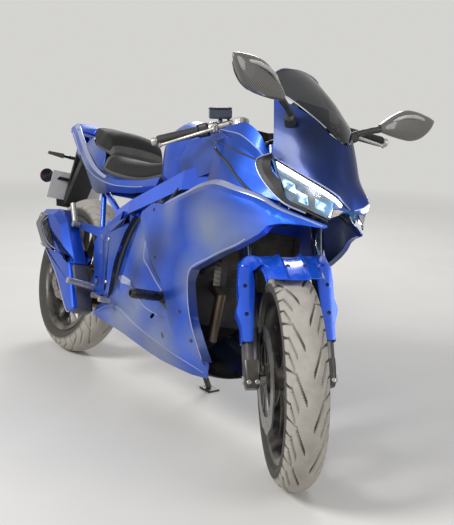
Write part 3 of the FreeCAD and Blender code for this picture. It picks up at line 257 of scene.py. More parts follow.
def strips(rows, columns, ring_rows=False, ring_columns=False):
    """Quads of a grid of points, wrapped round where a side is a ring."""
    i = np.arange(rows if ring_rows else rows - 1)
    j = np.arange(columns if ring_columns else columns - 1)
    a, b = (part.ravel() for part in np.meshgrid(i, j, indexing="ij"))
    c = (a + 1) % rows
    d = (b + 1) % columns
    return np.stack([a * columns + b, a * columns + d, c * columns + d, c * columns + b], 1)


def face_out(mesh, merge=None):
    """Turn a mesh's faces outward, after merging points closer than a distance in metres."""
    shape = bmesh.new()
    shape.from_mesh(mesh)
    if merge:
        bmesh.ops.remove_doubles(shape, verts=shape.verts, dist=merge)
    bmesh.ops.recalc_face_normals(shape, faces=shape.faces)
    shape.to_mesh(mesh)
    shape.free()


def build(name, points, faces, body, material, place=park, hides=(), sharp=35.0, wall=0.0,
          outward=True):
    """A piece from points in upright millimetres and faces as rows of indices; a wall grows
    inward."""
    mesh = bpy.data.meshes.new(name)
    mesh.from_pydata(place(points).tolist(), [], faces)
    mesh.materials.append(material)
    if outward:
        face_out(mesh, 1e-6)
    piece = bpy.data.objects.new(name, mesh)
    bpy.context.scene.collection.objects.link(piece)
    if wall:
        thick = piece.modifiers.new("wall", "SOLIDIFY")
        thick.thickness = wall * MM
        thick.offset = -1.0
        depsgraph = bpy.context.evaluated_depsgraph_get()
        mesh = bpy.data.meshes.new_from_object(piece.evaluated_get(depsgraph))
        piece.modifiers.clear()
        piece.data = mesh
    mesh.shade_smooth()
    mesh.set_sharp_from_angle(angle=math.radians(sharp))
    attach(piece, body)
    if hides:
        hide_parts(*hides)
    return piece


def joined(pieces):
    """One list of points and faces from several (points, faces) pairs."""
    points = []
    faces = []
    count = 0
    for spots, rows in pieces:
        spots = np.asarray(spots, float).reshape(-1, 3)
        points.append(spots)
        faces.extend((np.asarray(row) + count).tolist() for row in rows)
        count += len(spots)
    return np.concatenate(points), faces


def axes_for(direction, hint=UP):
    """Two directions square to a direction and to each other."""
    along = np.asarray(direction, float) / np.linalg.norm(direction)
    if abs(along @ hint) > 0.95:
        hint = np.array([1.0, 0.0, 0.0])
    side = np.cross(hint, along)
    side /= np.linalg.norm(side)
    return along, side, np.cross(along, side)


def capped(grid):
    """Faces of a tube of rings, closed at both ends."""
    rows, around = grid.shape[:2]
    last = (rows - 1) * around
    return grid.reshape(-1, 3), strips(rows, around, False, True).tolist() + [
        list(range(around))[::-1], list(range(last, last + around))]


def turned(start, end, profile, around=24):
    """Lathe solid between two points: profile rows are (share of the length, radius)."""
    start = np.asarray(start, float)
    end = np.asarray(end, float)
    along, side, rise = axes_for(end - start)
    share, radius = np.asarray(profile, float).T
    t = np.linspace(0, 2 * np.pi, around, endpoint=False)
    ring = np.cos(t)[:, None] * side + np.sin(t)[:, None] * rise
    grid = start + share[:, None, None] * (end - start) + radius[:, None, None] * ring
    return capped(grid)


def pin(start, end, radius, around=20, round_edge=0.06):
    """Round bar with softened ends."""
    r = round_edge
    return turned(start, end, [(0, radius * (1 - 2 * r)), (r / 2, radius), (1 - r / 2, radius),
                               (1, radius * (1 - 2 * r))], around)


def spoke(angle):
    """Unit vector in the wheel's plane, at an angle up from straight ahead."""
    return np.array([math.cos(angle), 0, math.sin(angle)])


def curve_through(points, count):
    """Points along a Catmull-Rom spline through the given points, evenly in each span."""
    p = np.asarray(points, float)
    p = np.vstack([2 * p[0] - p[1], p, 2 * p[-1] - p[-2]])
    u = np.linspace(0, len(p) - 3 - 1e-9, count)
    i = u.astype(int)
    t = (u - i)[:, None]
    a, b, c, d = p[i], p[i + 1], p[i + 2], p[i + 3]
    return 0.5 * (2 * b + (c - a) * t + (2 * a - 5 * b + 4 * c - d) * t ** 2
                  + (3 * b - a - 3 * c + d) * t ** 3)


def hose(points, radius, count=40, around=12, shape=None):
    """Tube along a spline through the points; shape scales its radius along the way."""
    line = curve_through(points, count)
    along = np.gradient(line, axis=0)
    along /= np.linalg.norm(along, axis=1)[:, None]
    hint = UP if abs(along[:, 2]).mean() < 0.8 else np.array([1.0, 0.0, 0.0])
    side = np.cross(hint, along)
    side /= np.linalg.norm(side, axis=1)[:, None]
    rise = np.cross(along, side)
    t = np.linspace(0, 2 * np.pi, around, endpoint=False)
    scale = np.ones(count) if shape is None else np.interp(np.linspace(0, 1, count), *zip(*shape))
    ring = np.cos(t)[None, :, None] * side[:, None] + np.sin(t)[None, :, None] * rise[:, None]
    grid = line[:, None] + ring * (radius * scale)[:, None, None]
    return capped(grid)


cast_metal = moulded("cast_metal", (0.045, 0.045, 0.048), 0.55, 0.0004, 0.6, 0.6)
rubber = moulded("rubber", (0.014, 0.014, 0.014), 0.6, 0.00015, 0.35)
wear(["engine_block"], cast_metal)
ENGINE_SIDE = 102.0
cover_shapes = []
for side, x, z, r in ((-1, 20, 352, 64), (1, 62, 336, 54)):
    at = np.array([x, side * ENGINE_SIDE, z])
    cover_shapes.append(turned(at, at + LEFT * side * 24,
                               [(0, r), (0.45, r), (0.6, r - 3), (1, r - 16)], 48))
    for k in range(8):
        rim = at + spoke(2 * math.pi * (k + 0.5) / 8) * (r - 5)
        cover_shapes.append(pin(rim, rim + LEFT * side * 15, 4.5, 8))
covers = build("engine_covers", *joined(cover_shapes), "chassis", cast_metal)
coolant = build("coolant_hose", *hose([(395, -112, 545), (352, -116, 520), (300, -108, 500),
                                       (250, -90, 500)], 12), "chassis", rubber)

# Radiator: a brazed aluminium core, sprayed black, with soft fins between its tubes; it hangs
# in front of the engine. The core is the model's solid.
core = Finish("radiator_core", metallic=0.6, roughness=0.5)
gap = core.add("ShaderNodeTexWave", {"wave_type": "BANDS", "bands_direction": "Y"},
               {"Vector": core.spot, "Scale": 110.0, "Distortion": 0.0})
core.set("Base Color", dusty(core, core.mix(gap, (0.006, 0.006, 0.007), (0.05, 0.05, 0.05)), 0.8, 0.9))
core.bump(gap, 0.0008)
wear(["radiator"], core.material)

# Swingarm: two box arms welded to a tie, in black enamel, on the frame's pivot; the axle and the
# pivot are turned steel. The model's solids stand for them and only get their finish.
steel = Finish("brushed_steel", metallic=0.95)
streak = steel.noise(220.0, 2.0)
steel.set("Base Color", dusty(steel, steel.mix(streak, (0.28, 0.27, 0.26), (0.55, 0.54, 0.52)), 0.5))
steel.set("Roughness", streak * 0.2 + 0.25)
steel.bump(streak, 0.00008)
arm_paint = moulded("arm_enamel", (0.02, 0.02, 0.023), 0.4, 0.0001, 0.7, 0.4)
wear(["swingarm"], arm_paint)
wear(["rear_axle", "front_axle"], steel.material)

# Drive chain: stamped side plates on rollers, riveted into one loop round both sprockets; outer
# and inner plates take turns along it.
SPROCKET_R = 92.0
DRIVE = np.array([-178.0, 0.0, 352.0])
DRIVE_R = 33.0
CHAIN_Y = 82.0
CHAIN_RISE = 5.9


def belt_line(centre_a, radius_a, centre_b, radius_b, count):
    """Evenly spaced points (x, z) along a belt round two wheels: two arcs and two tangents."""
    run = centre_b - centre_a
    base = math.atan2(run[1], run[0])
    wrap = math.acos((radius_a - radius_b) / np.hypot(*run))
    t = np.linspace(base + wrap, base + 2 * math.pi - wrap, 200)
    s = np.linspace(base - wrap, base + wrap, 120)
    line = np.concatenate([centre_a + radius_a * np.stack([np.cos(t), np.sin(t)], 1),
                           centre_b + radius_b * np.stack([np.cos(s), np.sin(s)], 1)])
    line = np.vstack([line, line[:1]])
    length = np.concatenate([[0], np.cumsum(np.hypot(*np.diff(line, axis=0).T))])
    at = np.linspace(0, length[-1], count, endpoint=False)
    return np.stack([np.interp(at, length, line[:, 0]), np.interp(at, length, line[:, 1])], 1)


def prisms(outlines, ys):
    """Closed prisms across the motorcycle: each outline of (x, z) rows between two values of y."""
    count, around = outlines.shape[:2]
    stack = np.stack([np.dstack([outlines[..., 0], np.full((count, around), y), outlines[..., 1]])
                      for y in ys], 1)
    ring = strips(2, around, False, True)
    faces = (ring[None] + np.arange(count)[:, None, None] * 2 * around).reshape(-1, 4).tolist()
    faces += [list(range(k, k + around))[::-1] for k in range(0, count * 2 * around, 2 * around)]
    faces += [list(range(k, k + around)) for k in range(around, count * 2 * around, 2 * around)]
    return stack.reshape(-1, 3), faces


LINKS = 106
PLATE_T = 1.5
ROLLER_R = 4.3
ROLLER_HALF = 6.9
pins = belt_line(REAR_AXLE[[0, 2]], SPROCKET_R + CHAIN_RISE, DRIVE[[0, 2]], DRIVE_R + CHAIN_RISE, LINKS)
nexts = np.roll(pins, -1, 0)
middle = (pins + nexts) / 2
along = nexts - pins
along /= np.hypot(*along.T)[:, None]
across = np.stack([-along[:, 1], along[:, 0]], 1)
t = np.linspace(0, 2 * np.pi, 14, endpoint=False)
plate_a = (12.0 * np.cos(t))[None, :, None]
plate_b = ((4.6 + 1.1 * np.cos(2 * t)) * np.sin(t))[None, :, None]
plate = middle[:, None] + plate_a * along[:, None] + plate_b * across[:, None]
chain_shapes = []
for outer_link, reach in ((0, 4.4), (1, 6.4)):
    for side in (-1, 1):
        ys = CHAIN_Y + side * np.array([reach, reach - PLATE_T])
        chain_shapes.append(prisms(plate[outer_link::2], ys))
t = np.linspace(0, 2 * np.pi, 8, endpoint=False)
roller = pins[:, None] + ROLLER_R * np.stack([np.cos(t), np.sin(t)], 1)
chain_shapes.append(prisms(roller, (CHAIN_Y - ROLLER_HALF, CHAIN_Y + ROLLER_HALF)))
chain_steel = moulded("chain_steel", (0.10, 0.085, 0.065), 0.42, 0.0001, 0.5, 0.85)
chain = build("chain_links", *joined(chain_shapes), "chassis", chain_steel, hides=["chain"])
wear(["rear_sprocket"], chain_steel)

# Cast wheels: an aluminium rim barrel, five pairs of blades and a hub, powder-coated black. The
# front one is turned with the fork, which stands at its right stop.
BEAD_R = 217.0
HUB_R = 30.0
BLADE_PAIRS = 5
LOCK = math.radians(31.0)
RAKE = math.radians(25.0)
TRAIL = 95.0
FRONT_R = 293.0
FRONT_AXLE = np.array([WHEELBASE / 2, 0.0, FRONT_R])
STEER_DIR = np.array([-math.sin(RAKE), 0.0, math.cos(RAKE)])
STEER_FOOT = np.array([WHEELBASE / 2 + TRAIL, 0.0, 0.0])
steer_turn = turn_about(STEER_DIR, -LOCK)


def steer(points):
    """As park, after a turn about the steering axis to the right stop."""
    return park((np.asarray(points, float) - STEER_FOOT) @ steer_turn.T + STEER_FOOT)


def slab(start, end, up, sizes, corner=0.25, around=16):
    """Rounded bar between two points; sizes rows are (share, width, height)."""
    start = np.asarray(start, float)
    end = np.asarray(end, float)
    along, side, rise = axes_for(end - start, np.asarray(up, float))
    share, wide, tall = np.asarray(sizes, float).T
    t = (np.arange(around) + 0.5) * 2 * np.pi / around
    c = np.sign(np.cos(t)) * abs(np.cos(t)) ** corner
    s = np.sign(np.sin(t)) * abs(np.sin(t)) ** corner
    grid = (start + share[:, None, None] * (end - start)
            + (wide[:, None] / 2 * c)[:, :, None] * side
            + (tall[:, None] / 2 * s)[:, :, None] * rise)
    return capped(grid)


def wheel(half, hub_half, centre):
    """Barrel and hub turned about the axle, and blades lofted from the hub to the barrel."""
    profile = np.array([(-half, BEAD_R + 7), (-half - 0.5, BEAD_R + 2), (-half + 1, BEAD_R - 8),
                        (-half + 8, BEAD_R - 15), (-half + 20, BEAD_R - 20), (0, BEAD_R - 21),
                        (half - 20, BEAD_R - 20), (half - 8, BEAD_R - 15), (half - 1, BEAD_R - 8),
                        (half + 0.5, BEAD_R + 2), (half, BEAD_R + 7), (half - 5, BEAD_R + 6.9),
                        (half - 5, BEAD_R), (half - 22, BEAD_R), (half - 30, BEAD_R - 11),
                        (30 - half, BEAD_R - 11), (22 - half, BEAD_R), (5 - half, BEAD_R),
                        (5 - half, BEAD_R + 6.9)])
    t = np.linspace(0, 2 * np.pi, 120, endpoint=False)[:, None]
    barrel = np.dstack([profile[:, 1] * np.cos(t), profile[:, 0] + 0 * t, profile[:, 1] * np.sin(t)])
    shapes = [(barrel.reshape(-1, 3), strips(120, len(profile), True, True).tolist())]
    shapes.append(turned((0, -hub_half, 0), (0, hub_half, 0),
                         [(0, 14), (0, HUB_R - 3), (0.03, HUB_R - 0.5), (0.2, HUB_R - 1),
                          (0.3, HUB_R + 4), (0.7, HUB_R + 4), (0.8, HUB_R - 1), (0.97, HUB_R - 0.5),
                          (1, HUB_R - 3), (1, 14)], 48))
    for k in range(BLADE_PAIRS):
        for side in (-1, 1):
            root = math.radians(90 + 360 / BLADE_PAIRS * k + side * 8)
            tip = math.radians(90 + 360 / BLADE_PAIRS * k + side * 14)
            start = spoke(root) * (HUB_R - 6)
            end = spoke(tip) * (BEAD_R - 18)
            shapes.append(slab(start, end, LEFT, [(0, 20, 46), (0.15, 15, 40), (0.5, 11.5, 30),
                                                  (0.85, 12, 27), (0.96, 18, 32), (1, 22, 38)],
                               0.45, 20))
    points, faces = joined(shapes)
    return points + centre, faces


rim_black = moulded("rim_powder", (0.010, 0.010, 0.012), 0.32, 0.00006, 0.5, 0.25)
for name, half, hub_half, centre, place, body in (
        ("front_rim", 44.0, 48.0, FRONT_AXLE, steer, "front_wheel"),
        ("rear_rim", 57.0, 60.0, REAR_AXLE, park, "rear_wheel")):
    rim = build(name + "_cast", *wheel(half, hub_half, centre), body, rim_black, place, [name])
valve_out = np.array([0.2, 0, -0.98])
valve = pin(REAR_AXLE + (BEAD_R - 20) * valve_out - LEFT * 30,
            REAR_AXLE + (BEAD_R - 52) * valve_out - LEFT * 34, 3.5, 10)
rear_valve = build("rear_valve", *joined([valve]), "rear_wheel", rubber)

# Tyres: black rubber worn grey-brown by a dusty road, with curved grooves cut in both halves
# of the tread and a round wall down to the bead.
GROOVE_DEPTH = 3.6
GROOVE_END = 0.93
INNER_SWEEP = 1.56
OUTER_SWEEP = 0.36
TREAD_POINTS = 61
TYRE_STEPS = 1100


def tyre(radius, half, crown, rim_half, centre, pitches):
    """Ring whose section is a circular tread arc and bulged walls. A groove is where the phase
    pitches * angle less a bent line in |v| is near a whole number; v runs -1 to 1 over the tread."""
    arc = (half ** 2 + crown ** 2) / (2 * crown)
    reach = math.asin(half / arc)
    v = np.linspace(-1, 1, TREAD_POINTS)
    tread = np.stack([arc * np.sin(v * reach), radius - arc + arc * np.cos(v * reach)], 1)
    bead = rim_half - 5
    wall = np.array([(half - 0.4, radius - crown - 7), (half - 2.5, radius - crown - 14),
                     (bead + 4.5, BEAD_R + 14), (bead + 1, BEAD_R + 8.2), (bead, BEAD_R + 7.6),
                     (bead, BEAD_R), (bead - 10, BEAD_R), (half - 12, radius - crown - 6)])
    inner = np.stack([tread[::-6, 0] * (1 - 12 / half), tread[::-6, 1] - 10], 1)
    profile = np.concatenate([tread, wall, inner, wall[::-1] * (-1, 1)])
    angle = np.linspace(0, 2 * np.pi, TYRE_STEPS, endpoint=False)[:, None]
    a = abs(v)[None]
    hand = np.where(v > 0, 0.5, 0.0)[None]

    def cut(late, start, knee, width):
        bend = INNER_SWEEP * knee
        swept = np.interp(a, [0, knee, 1], [0, bend, bend + OUTER_SWEEP * (1 - knee)])
        slope = np.where(a < knee, INNER_SWEEP, OUTER_SWEEP) * 2 * np.pi * radius / pitches / half
        phase = pitches * angle / (2 * np.pi) - swept + hand + late
        off = abs(phase - np.round(phase)) / pitches * 2 * np.pi * radius / np.sqrt(1 + slope ** 2)
        ends = np.clip((a - start) / 0.05, 0, 1) * np.clip((GROOVE_END - a) / 0.04, 0, 1)
        return np.clip((width * (0.7 + 0.3 * a) - off) / 1.0 + 0.5, 0, 1) * ends

    depth = np.maximum(cut(0.0, 0.09, 0.46, 3.3), cut(0.55, 0.34, 0.64, 2.9))
    depth = np.maximum(depth, cut(0.98, 0.46, 0.72, 2.7))
    ring = np.repeat(profile[None], TYRE_STEPS, 0)
    normal = np.stack([np.sin(v * reach), np.cos(v * reach)], 1)
    ring[:, :TREAD_POINTS] -= depth[..., None] * GROOVE_DEPTH * normal
    grid = np.dstack([ring[..., 1] * np.cos(angle), ring[..., 0], ring[..., 1] * np.sin(angle)])
    faces = strips(TYRE_STEPS, len(profile), True, True)
    return grid.reshape(-1, 3) + centre, faces.tolist()


def tread_rubber(name, centre, axis, radius, crown):
    """Rubber: dusty tan on the tread, black on the walls and down in the grooves."""
    finish = Finish(name)
    axis = tuple(float(c) for c in axis)
    arm = finish.add("ShaderNodeVectorMath", {"operation": "SUBTRACT"},
                     {0: finish.spot, 1: tuple(float(c) for c in centre)})
    out = finish.add("ShaderNodeVectorMath", {"operation": "CROSS_PRODUCT"}, {0: arm, 1: axis})
    far = finish.add("ShaderNodeVectorMath", {"operation": "LENGTH"}, {0: out}, "Value")
    side = finish.add("ShaderNodeVectorMath", {"operation": "DOT_PRODUCT"}, {0: arm, 1: axis}, "Value")
    ball = side * side
    shoulder = (radius - crown) * MM
    depth = far + ball * (crown / 60.0 ** 2 / MM)
    worn = depth.clip((radius - 3.0) * MM, (radius - 0.4) * MM) * far.clip(shoulder, shoulder + 0.012)
    patch = finish.noise(38.0, 4.0)
    tan = finish.mix(patch, (0.27, 0.245, 0.21), (0.44, 0.41, 0.365))
    dark = finish.mix(patch, (0.022, 0.021, 0.02), (0.075, 0.068, 0.058))
    finish.set("Base Color", finish.mix(worn, dark, tan))
    finish.set("Roughness", patch * 0.15 + 0.72)
    finish.bump(finish.noise(420.0, 3.0), 0.0005)
    return finish.material


for name, radius, half, crown, rim_half, centre, place, body, pitches in (
        ("front_tyre", FRONT_R, 55.0, 45.0, 44.0, FRONT_AXLE, steer, "front_wheel", 14),
        ("rear_tyre", REAR_R, 69.0, 50.0, 57.0, REAR_AXLE, park, "rear_wheel", 13)):
    material = tread_rubber(name + "_rubber", place(centre), joints[body]["axis"], radius, crown)
    carcass = build(name + "_carcass", *tyre(radius, half, crown, rim_half, centre, pitches), body,
                    material, place, [name], 42.0)

# Brake discs: laser-cut steel with a waved edge and drilled holes, riveted to a black carrier
# on the hub; the carrier's arms lie in the disc's plane and pass through the calliper's slot.
DISC_T = 4.0
ARMS = 5
ARM_T = 3.2
ARM_REACH = 0.69
RIVET_HALF = 2.4


def circle(x, z, radius, count):
    """Outline of a round hole, as (x, z) rows."""
    t = np.linspace(0, 2 * np.pi, count + 1)[:-1]
    return np.stack([x + radius * np.cos(t), z + radius * np.sin(t)], 1)


def in_loops(points, loops):
    """Which points lie inside an odd number of closed loops."""
    x, y = points[:, 0, None], points[:, 1, None]
    odd = np.zeros(len(points), bool)
    for loop in loops:
        a, b = loop, np.roll(loop, -1, 0)
        rise = np.where(a[:, 1] == b[:, 1], 1e-9, b[:, 1] - a[:, 1])
        crosses = (a[:, 1] > y) != (b[:, 1] > y)
        left = x < (b[:, 0] - a[:, 0]) * (y - a[:, 1]) / rise + a[:, 0]
        odd ^= (crosses & left).sum(1) % 2 == 1
    return odd


def gap_to(points, line):
    """Distance from each point to an open line of straight runs."""
    a, b = line[:-1], line[1:]
    run = b - a
    share = ((points[:, None] - a) * run).sum(2) / (run ** 2).sum(1)
    near = a + np.clip(share, 0, 1)[..., None] * run
    return np.linalg.norm(points[:, None] - near, axis=2).min(1)


def flat_net(loops, cell, creases=()):
    """Triangles that fill closed loops, with a net of points inside them and edges along creases."""
    low = np.min([loop.min(0) for loop in loops], 0)
    high = np.max([loop.max(0) for loop in loops], 0)
    grid = np.stack(np.meshgrid(np.arange(low[0], high[0], cell),
                                np.arange(low[1], high[1], cell)), -1).reshape(-1, 2)
    grid[::2] += (0, cell * 0.3)
    grid = grid[in_loops(grid, loops)]
    for loop in loops:
        grid = grid[gap_to(grid, np.vstack([loop, loop[:1]])) > cell * 0.45]
    lines = []
    for crease in creases:
        share = np.linspace(0, len(crease) - 1, 8 * len(crease))
        lines.append(np.stack([np.interp(share, np.arange(len(crease)), crease[:, k]) for k in (0, 1)], 1))
        grid = grid[gap_to(grid, lines[-1]) > cell * 0.45]
    points = np.concatenate(list(loops) + lines + [grid])
    edges = []
    start = 0
    for loop in loops:
        ids = start + np.arange(len(loop))
        edges += np.stack([ids, np.roll(ids, -1)], 1).tolist()
        start += len(loop)
    for line in lines:
        ids = start + np.arange(len(line))
        edges += np.stack([ids[:-1], ids[1:]], 1).tolist()
        start += len(line)
    spots, _, faces, *_ = delaunay_2d_cdt(points.tolist(), edges, [], 0, 1e-7)
    spots = np.array([tuple(spot) for spot in spots])
    faces = np.array(faces)
    return spots, faces[in_loops(spots[faces].mean(1), loops)]


def disc_net(radius, waves):
    """Outlines in the wheel's plane: waved edge r = R - w * (1 - cos)/2, waved bore, drillings."""
    t = np.linspace(0, 2 * np.pi, 240, endpoint=False)
    edge = radius - 5.0 * (0.5 - 0.5 * np.cos(waves * t)) ** 2
    bore = radius * 0.70 - 3.0 * (0.5 + 0.5 * np.cos(waves * t))
    loops = [np.stack([edge * np.cos(t), edge * np.sin(t)], 1),
             np.stack([bore * np.cos(t), bore * np.sin(t)], 1)]
    for k in range(waves * 3):
        turn = 2 * math.pi * k / (waves * 3)
        spot = radius * (0.77 + 0.075 * (k % 3)) * np.array([math.cos(turn), math.sin(turn)])
        loops.append(circle(*spot, 3.2, 8))
    return flat_net(loops, 14.0)


carrier_black = moulded("carrier_black", (0.02, 0.02, 0.022), 0.4, 0.00005, 0.4, 0.5)
disc_steel = Finish("disc_steel", metallic=0.9)
rings = disc_steel.noise(320.0, 2.0)
disc_steel.set("Base Color", dusty(disc_steel, disc_steel.mix(rings, (0.16, 0.15, 0.145),
                                                              (0.36, 0.35, 0.34)), 0.4))
disc_steel.set("Roughness", rings * 0.2 + 0.28)
for name, radius, y, hub_half, centre, place, body in (
        ("front_disc", 145.0, -65.0, 48.0, FRONT_AXLE, steer, "front_wheel"),
        ("rear_disc", 110.0, -76.0, 60.0, REAR_AXLE, park, "rear_wheel")):
    spots, faces = disc_net(radius, 10)
    ring_points = np.stack([spots[:, 0], np.full(len(spots), y + DISC_T / 2), spots[:, 1]], 1) + centre
    if np.cross(ring_points[faces[0, 1]] - ring_points[faces[0, 0]],
                ring_points[faces[0, 2]] - ring_points[faces[0, 0]])[1] < 0:
        faces = faces[:, ::-1]
    rotor = build(name + "_rotor", ring_points, faces, body, disc_steel.material, place, [name],
                  wall=DISC_T, outward=False)
    carrier = [turned(centre + LEFT * (y - 1.6), centre - LEFT * hub_half,
                      [(0, 15), (0, 37), (1, 37), (1, 15)], 40)]
    for k in range(ARMS):
        out = spoke(2 * math.pi * (k + 0.5) / ARMS)
        hub_side = centre + LEFT * y
        carrier.append(slab(hub_side + out * 26, hub_side + out * radius * ARM_REACH, LEFT,
                            [(0, 24, ARM_T), (0.5, 13, ARM_T), (1, 20, ARM_T)], 0.5, 12))
        rivet = hub_side - LEFT * RIVET_HALF + out * radius * ARM_REACH
        carrier.append(pin(rivet, rivet + LEFT * RIVET_HALF * 2, 6.0, 14))
    spider = build(name + "_carrier", *joined(carrier), body, carrier_black, place)

# Fork: chromed tubes that slide in cast legs, forged feet that clamp the axle with two bolts,
# and two clamps with the stem; the calliper hangs behind the right leg on two lugs.
FORK_Y = 102.0
AHEAD = np.array([math.cos(RAKE), 0.0, math.sin(RAKE)])


def leg(distance, side=0.0):
    """Point of a fork leg at a distance up from the front axle."""
    return FRONT_AXLE + STEER_DIR * distance + LEFT * side


def leg_at(z):
    """Distance up the fork leg to height z."""
    return (z - FRONT_R) / math.cos(RAKE)


chrome = Finish("fork_chrome", metallic=1.0, roughness=0.12)
chrome.set("Base Color", dusty(chrome, chrome.mix(chrome.noise(40.0, 2.0), (0.50, 0.50, 0.51),
                                                  (0.62, 0.62, 0.63)), 0.3, 0.7))
silver = Finish("worn_alloy", metallic=0.85)
grime = silver.noise(90.0, 4.0)
silver.set("Base Color", dusty(silver, silver.mix(grime, (0.30, 0.28, 0.26), (0.60, 0.58, 0.55)), 0.6))
silver.set("Roughness", grime * 0.25 + 0.25)
silver.bump(silver.noise(500.0, 2.0), 0.00006)
leg_black = moulded("leg_black", (0.018, 0.018, 0.02), 0.38, 0.00006, 0.6, 0.4)
SLIDER_TOP = 300.0
TUBE_TOP = leg_at(976.0)
tubes = []
legs = []
for side in (-FORK_Y, FORK_Y):
    tubes.append(turned(leg(SLIDER_TOP - 30, side), leg(TUBE_TOP, side),
                        [(0, 17), (0, 19), (0.985, 19), (0.99, 18), (1, 17)], 40))
    tubes.append(turned(leg(TUBE_TOP - 4, side), leg(TUBE_TOP + 5, side),
                        [(0, 13), (0.7, 13), (0.7, 9), (1, 8.5)], 6))
    legs.append(turned(leg(34, side), leg(SLIDER_TOP, side),
                       [(0, 22), (0.06, 24), (0.5, 24.5), (0.9, 24.8), (0.905, 26.8), (0.985, 26.8),
                        (1, 22.5), (1, 19.2)], 40))
build("fork_inner_tubes", *joined(tubes), "steering", chrome.material, steer, ["fork_tubes"])
slider_grey = moulded("slider_grey", (0.040, 0.042, 0.050), 0.36, 0.00005, 0.5, 0.6)
build("fork_sliders", *joined(legs), "steering", slider_grey, steer)
foot_shapes = []
bolt_shapes = []
for side in (-1, 1):
    y = side * FORK_Y
    foot_shapes.append(slab(leg(-25, y), leg(50, y), LEFT, [(0, 42, 34), (0.1, 56, 38), (0.3, 60, 42),
                                                            (0.75, 54, 46), (1, 48, 46)], 0.4, 24))
    for across in (-11, 11):
        head = leg(-10, y + across) + AHEAD * 27
        bolt_shapes.append(turned(head, head + AHEAD * 6,
                                  [(0, 6), (0.9, 6), (1, 5), (1, 2.6), (0.7, 2.4)], 20))
    nut = FRONT_AXLE + LEFT * side * (FORK_Y + 21)
    bolt_shapes.append(turned(nut, nut + LEFT * side * 5, [(0, 12), (0.7, 12), (1, 10), (1, 7), (0.3, 6)],
                              30))
build("fork_foot_castings", *joined(foot_shapes), "steering", leg_black, steer, ["fork_feet"])
build("axle_pinch_bolts", *joined(bolt_shapes), "steering", silver.material, steer)
wear(["fork_clamps", "front_caliper", "rear_caliper"], leg_black)
caliper_bolts = []
for distance in (66, 118):
    head = leg(distance, -FORK_Y - 6) - AHEAD * 38
    caliper_bolts.append(pin(head, head - LEFT * 6, 6, 6, 0.1))
caliper_bolts.append(turned(leg(91, -73 - 18) - AHEAD * 57, leg(91, -73 - 23) - AHEAD * 57,
                            [(0, 20), (0.5, 20), (1, 17), (1, 13), (0.6, 12)], 32))
build("caliper_bolts", *joined(caliper_bolts), "steering", silver.material, steer)
build("front_brake_hose", *hose([leg(128, -84) - AHEAD * 62, leg(190, -86) - AHEAD * 52,
                                 leg(300, -84) - AHEAD * 40, leg(420, -76) - AHEAD * 30,
                                 leg(460, -74) - AHEAD * 12], 3.4, 60, 10),
      "steering", rubber, steer)

# Front mudguard: one moulding in bright blue, crowned over the tyre with two raised ridges, and
# a guard plate that runs down the outside of each leg, held by two screws.
GUARD_R = FRONT_R + 14.0
GUARD_FRONT = 68
GUARD_REAR = 122
GUARD_HALF = 76
GUARD_HOLE_R = 5.5


def slopes(keys, values):
    """Tangents of a smooth curve through values, along the last axis, at uneven keys."""
    step = np.diff(keys)
    rate = np.diff(values, axis=-1) / step
    middle = (rate[..., :-1] * step[1:] + rate[..., 1:] * step[:-1]) / (step[1:] + step[:-1])
    return np.concatenate([rate[..., :1], middle, rate[..., -1:]], axis=-1)


def smooth(keys, values, at):
    """Cubic through the values at the keys, read at each point of at."""
    keys = np.asarray(keys, float)
    values = np.asarray(values, float)
    at = np.clip(np.asarray(at, float), keys[0], keys[-1])
    i = np.clip(np.searchsorted(keys, at, side="right") - 1, 0, len(keys) - 2)
    step = keys[i + 1] - keys[i]
    t = (at - keys[i]) / step
    m = slopes(keys, values)
    return ((2 * t ** 3 - 3 * t ** 2 + 1) * values[..., i] + (t ** 3 - 2 * t ** 2 + t) * step
            * m[..., i] + (3 * t ** 2 - 2 * t ** 3) * values[..., i + 1]
            + (t ** 3 - t ** 2) * step * m[..., i + 1])


def rounded(corners, radius, step):
    """Closed outline with its corners rounded by parabolas and its runs cut into steps."""
    p = np.asarray(corners, float)
    pieces = []
    for before, here, after in zip(np.roll(p, 1, 0), p, np.roll(p, -1, 0)):
        back = before - here
        out = after - here
        reach = min(radius, np.linalg.norm(back) / 2.2, np.linalg.norm(out) / 2.2)
        a = here + back / np.linalg.norm(back) * reach
        c = here + out / np.linalg.norm(out) * reach
        t = np.linspace(0, 1, 5)[:, None]
        pieces.append((1 - t) ** 2 * a + 2 * t * (1 - t) * here + t ** 2 * c)
    line = np.concatenate(pieces)
    rows = []
    for a, b in zip(line, np.roll(line, -1, 0)):
        count = max(1, int(np.linalg.norm(b - a) / step))
        rows.append(a + (b - a) * np.arange(count)[:, None] / count)
    return np.concatenate(rows)


def mirror_y(shape):
    """The same points and faces on the other side of the motorcycle."""
    points, faces = shape
    return np.asarray(points) * (1, -1, 1), [row[::-1] for row in faces]


def both(shape):
    """A shape and its mirror image on the other side of the motorcycle, as one shape."""
    return joined([shape, mirror_y(shape)])


def refine(net, rows, columns, creased=False):
    """Finer grid through a net of points: cubic along the columns, and along the rows cubic, or
    straight where the middle row is a crease."""
    net = np.asarray(net, float)
    u = np.linspace(0, net.shape[1] - 1, columns)
    fine = smooth(np.arange(net.shape[1]), np.moveaxis(net, 1, 2), u)
    v = np.linspace(0, net.shape[0] - 1, rows)
    lines = np.moveaxis(fine, 0, 2)
    if creased:
        i = np.minimum(v.astype(int), net.shape[0] - 2)
        fine = lines[..., i] * (1 - v + i) + lines[..., i + 1] * (v - i)
    else:
        fine = smooth(np.arange(net.shape[0]), lines, v)
    return np.transpose(fine, (2, 1, 0))


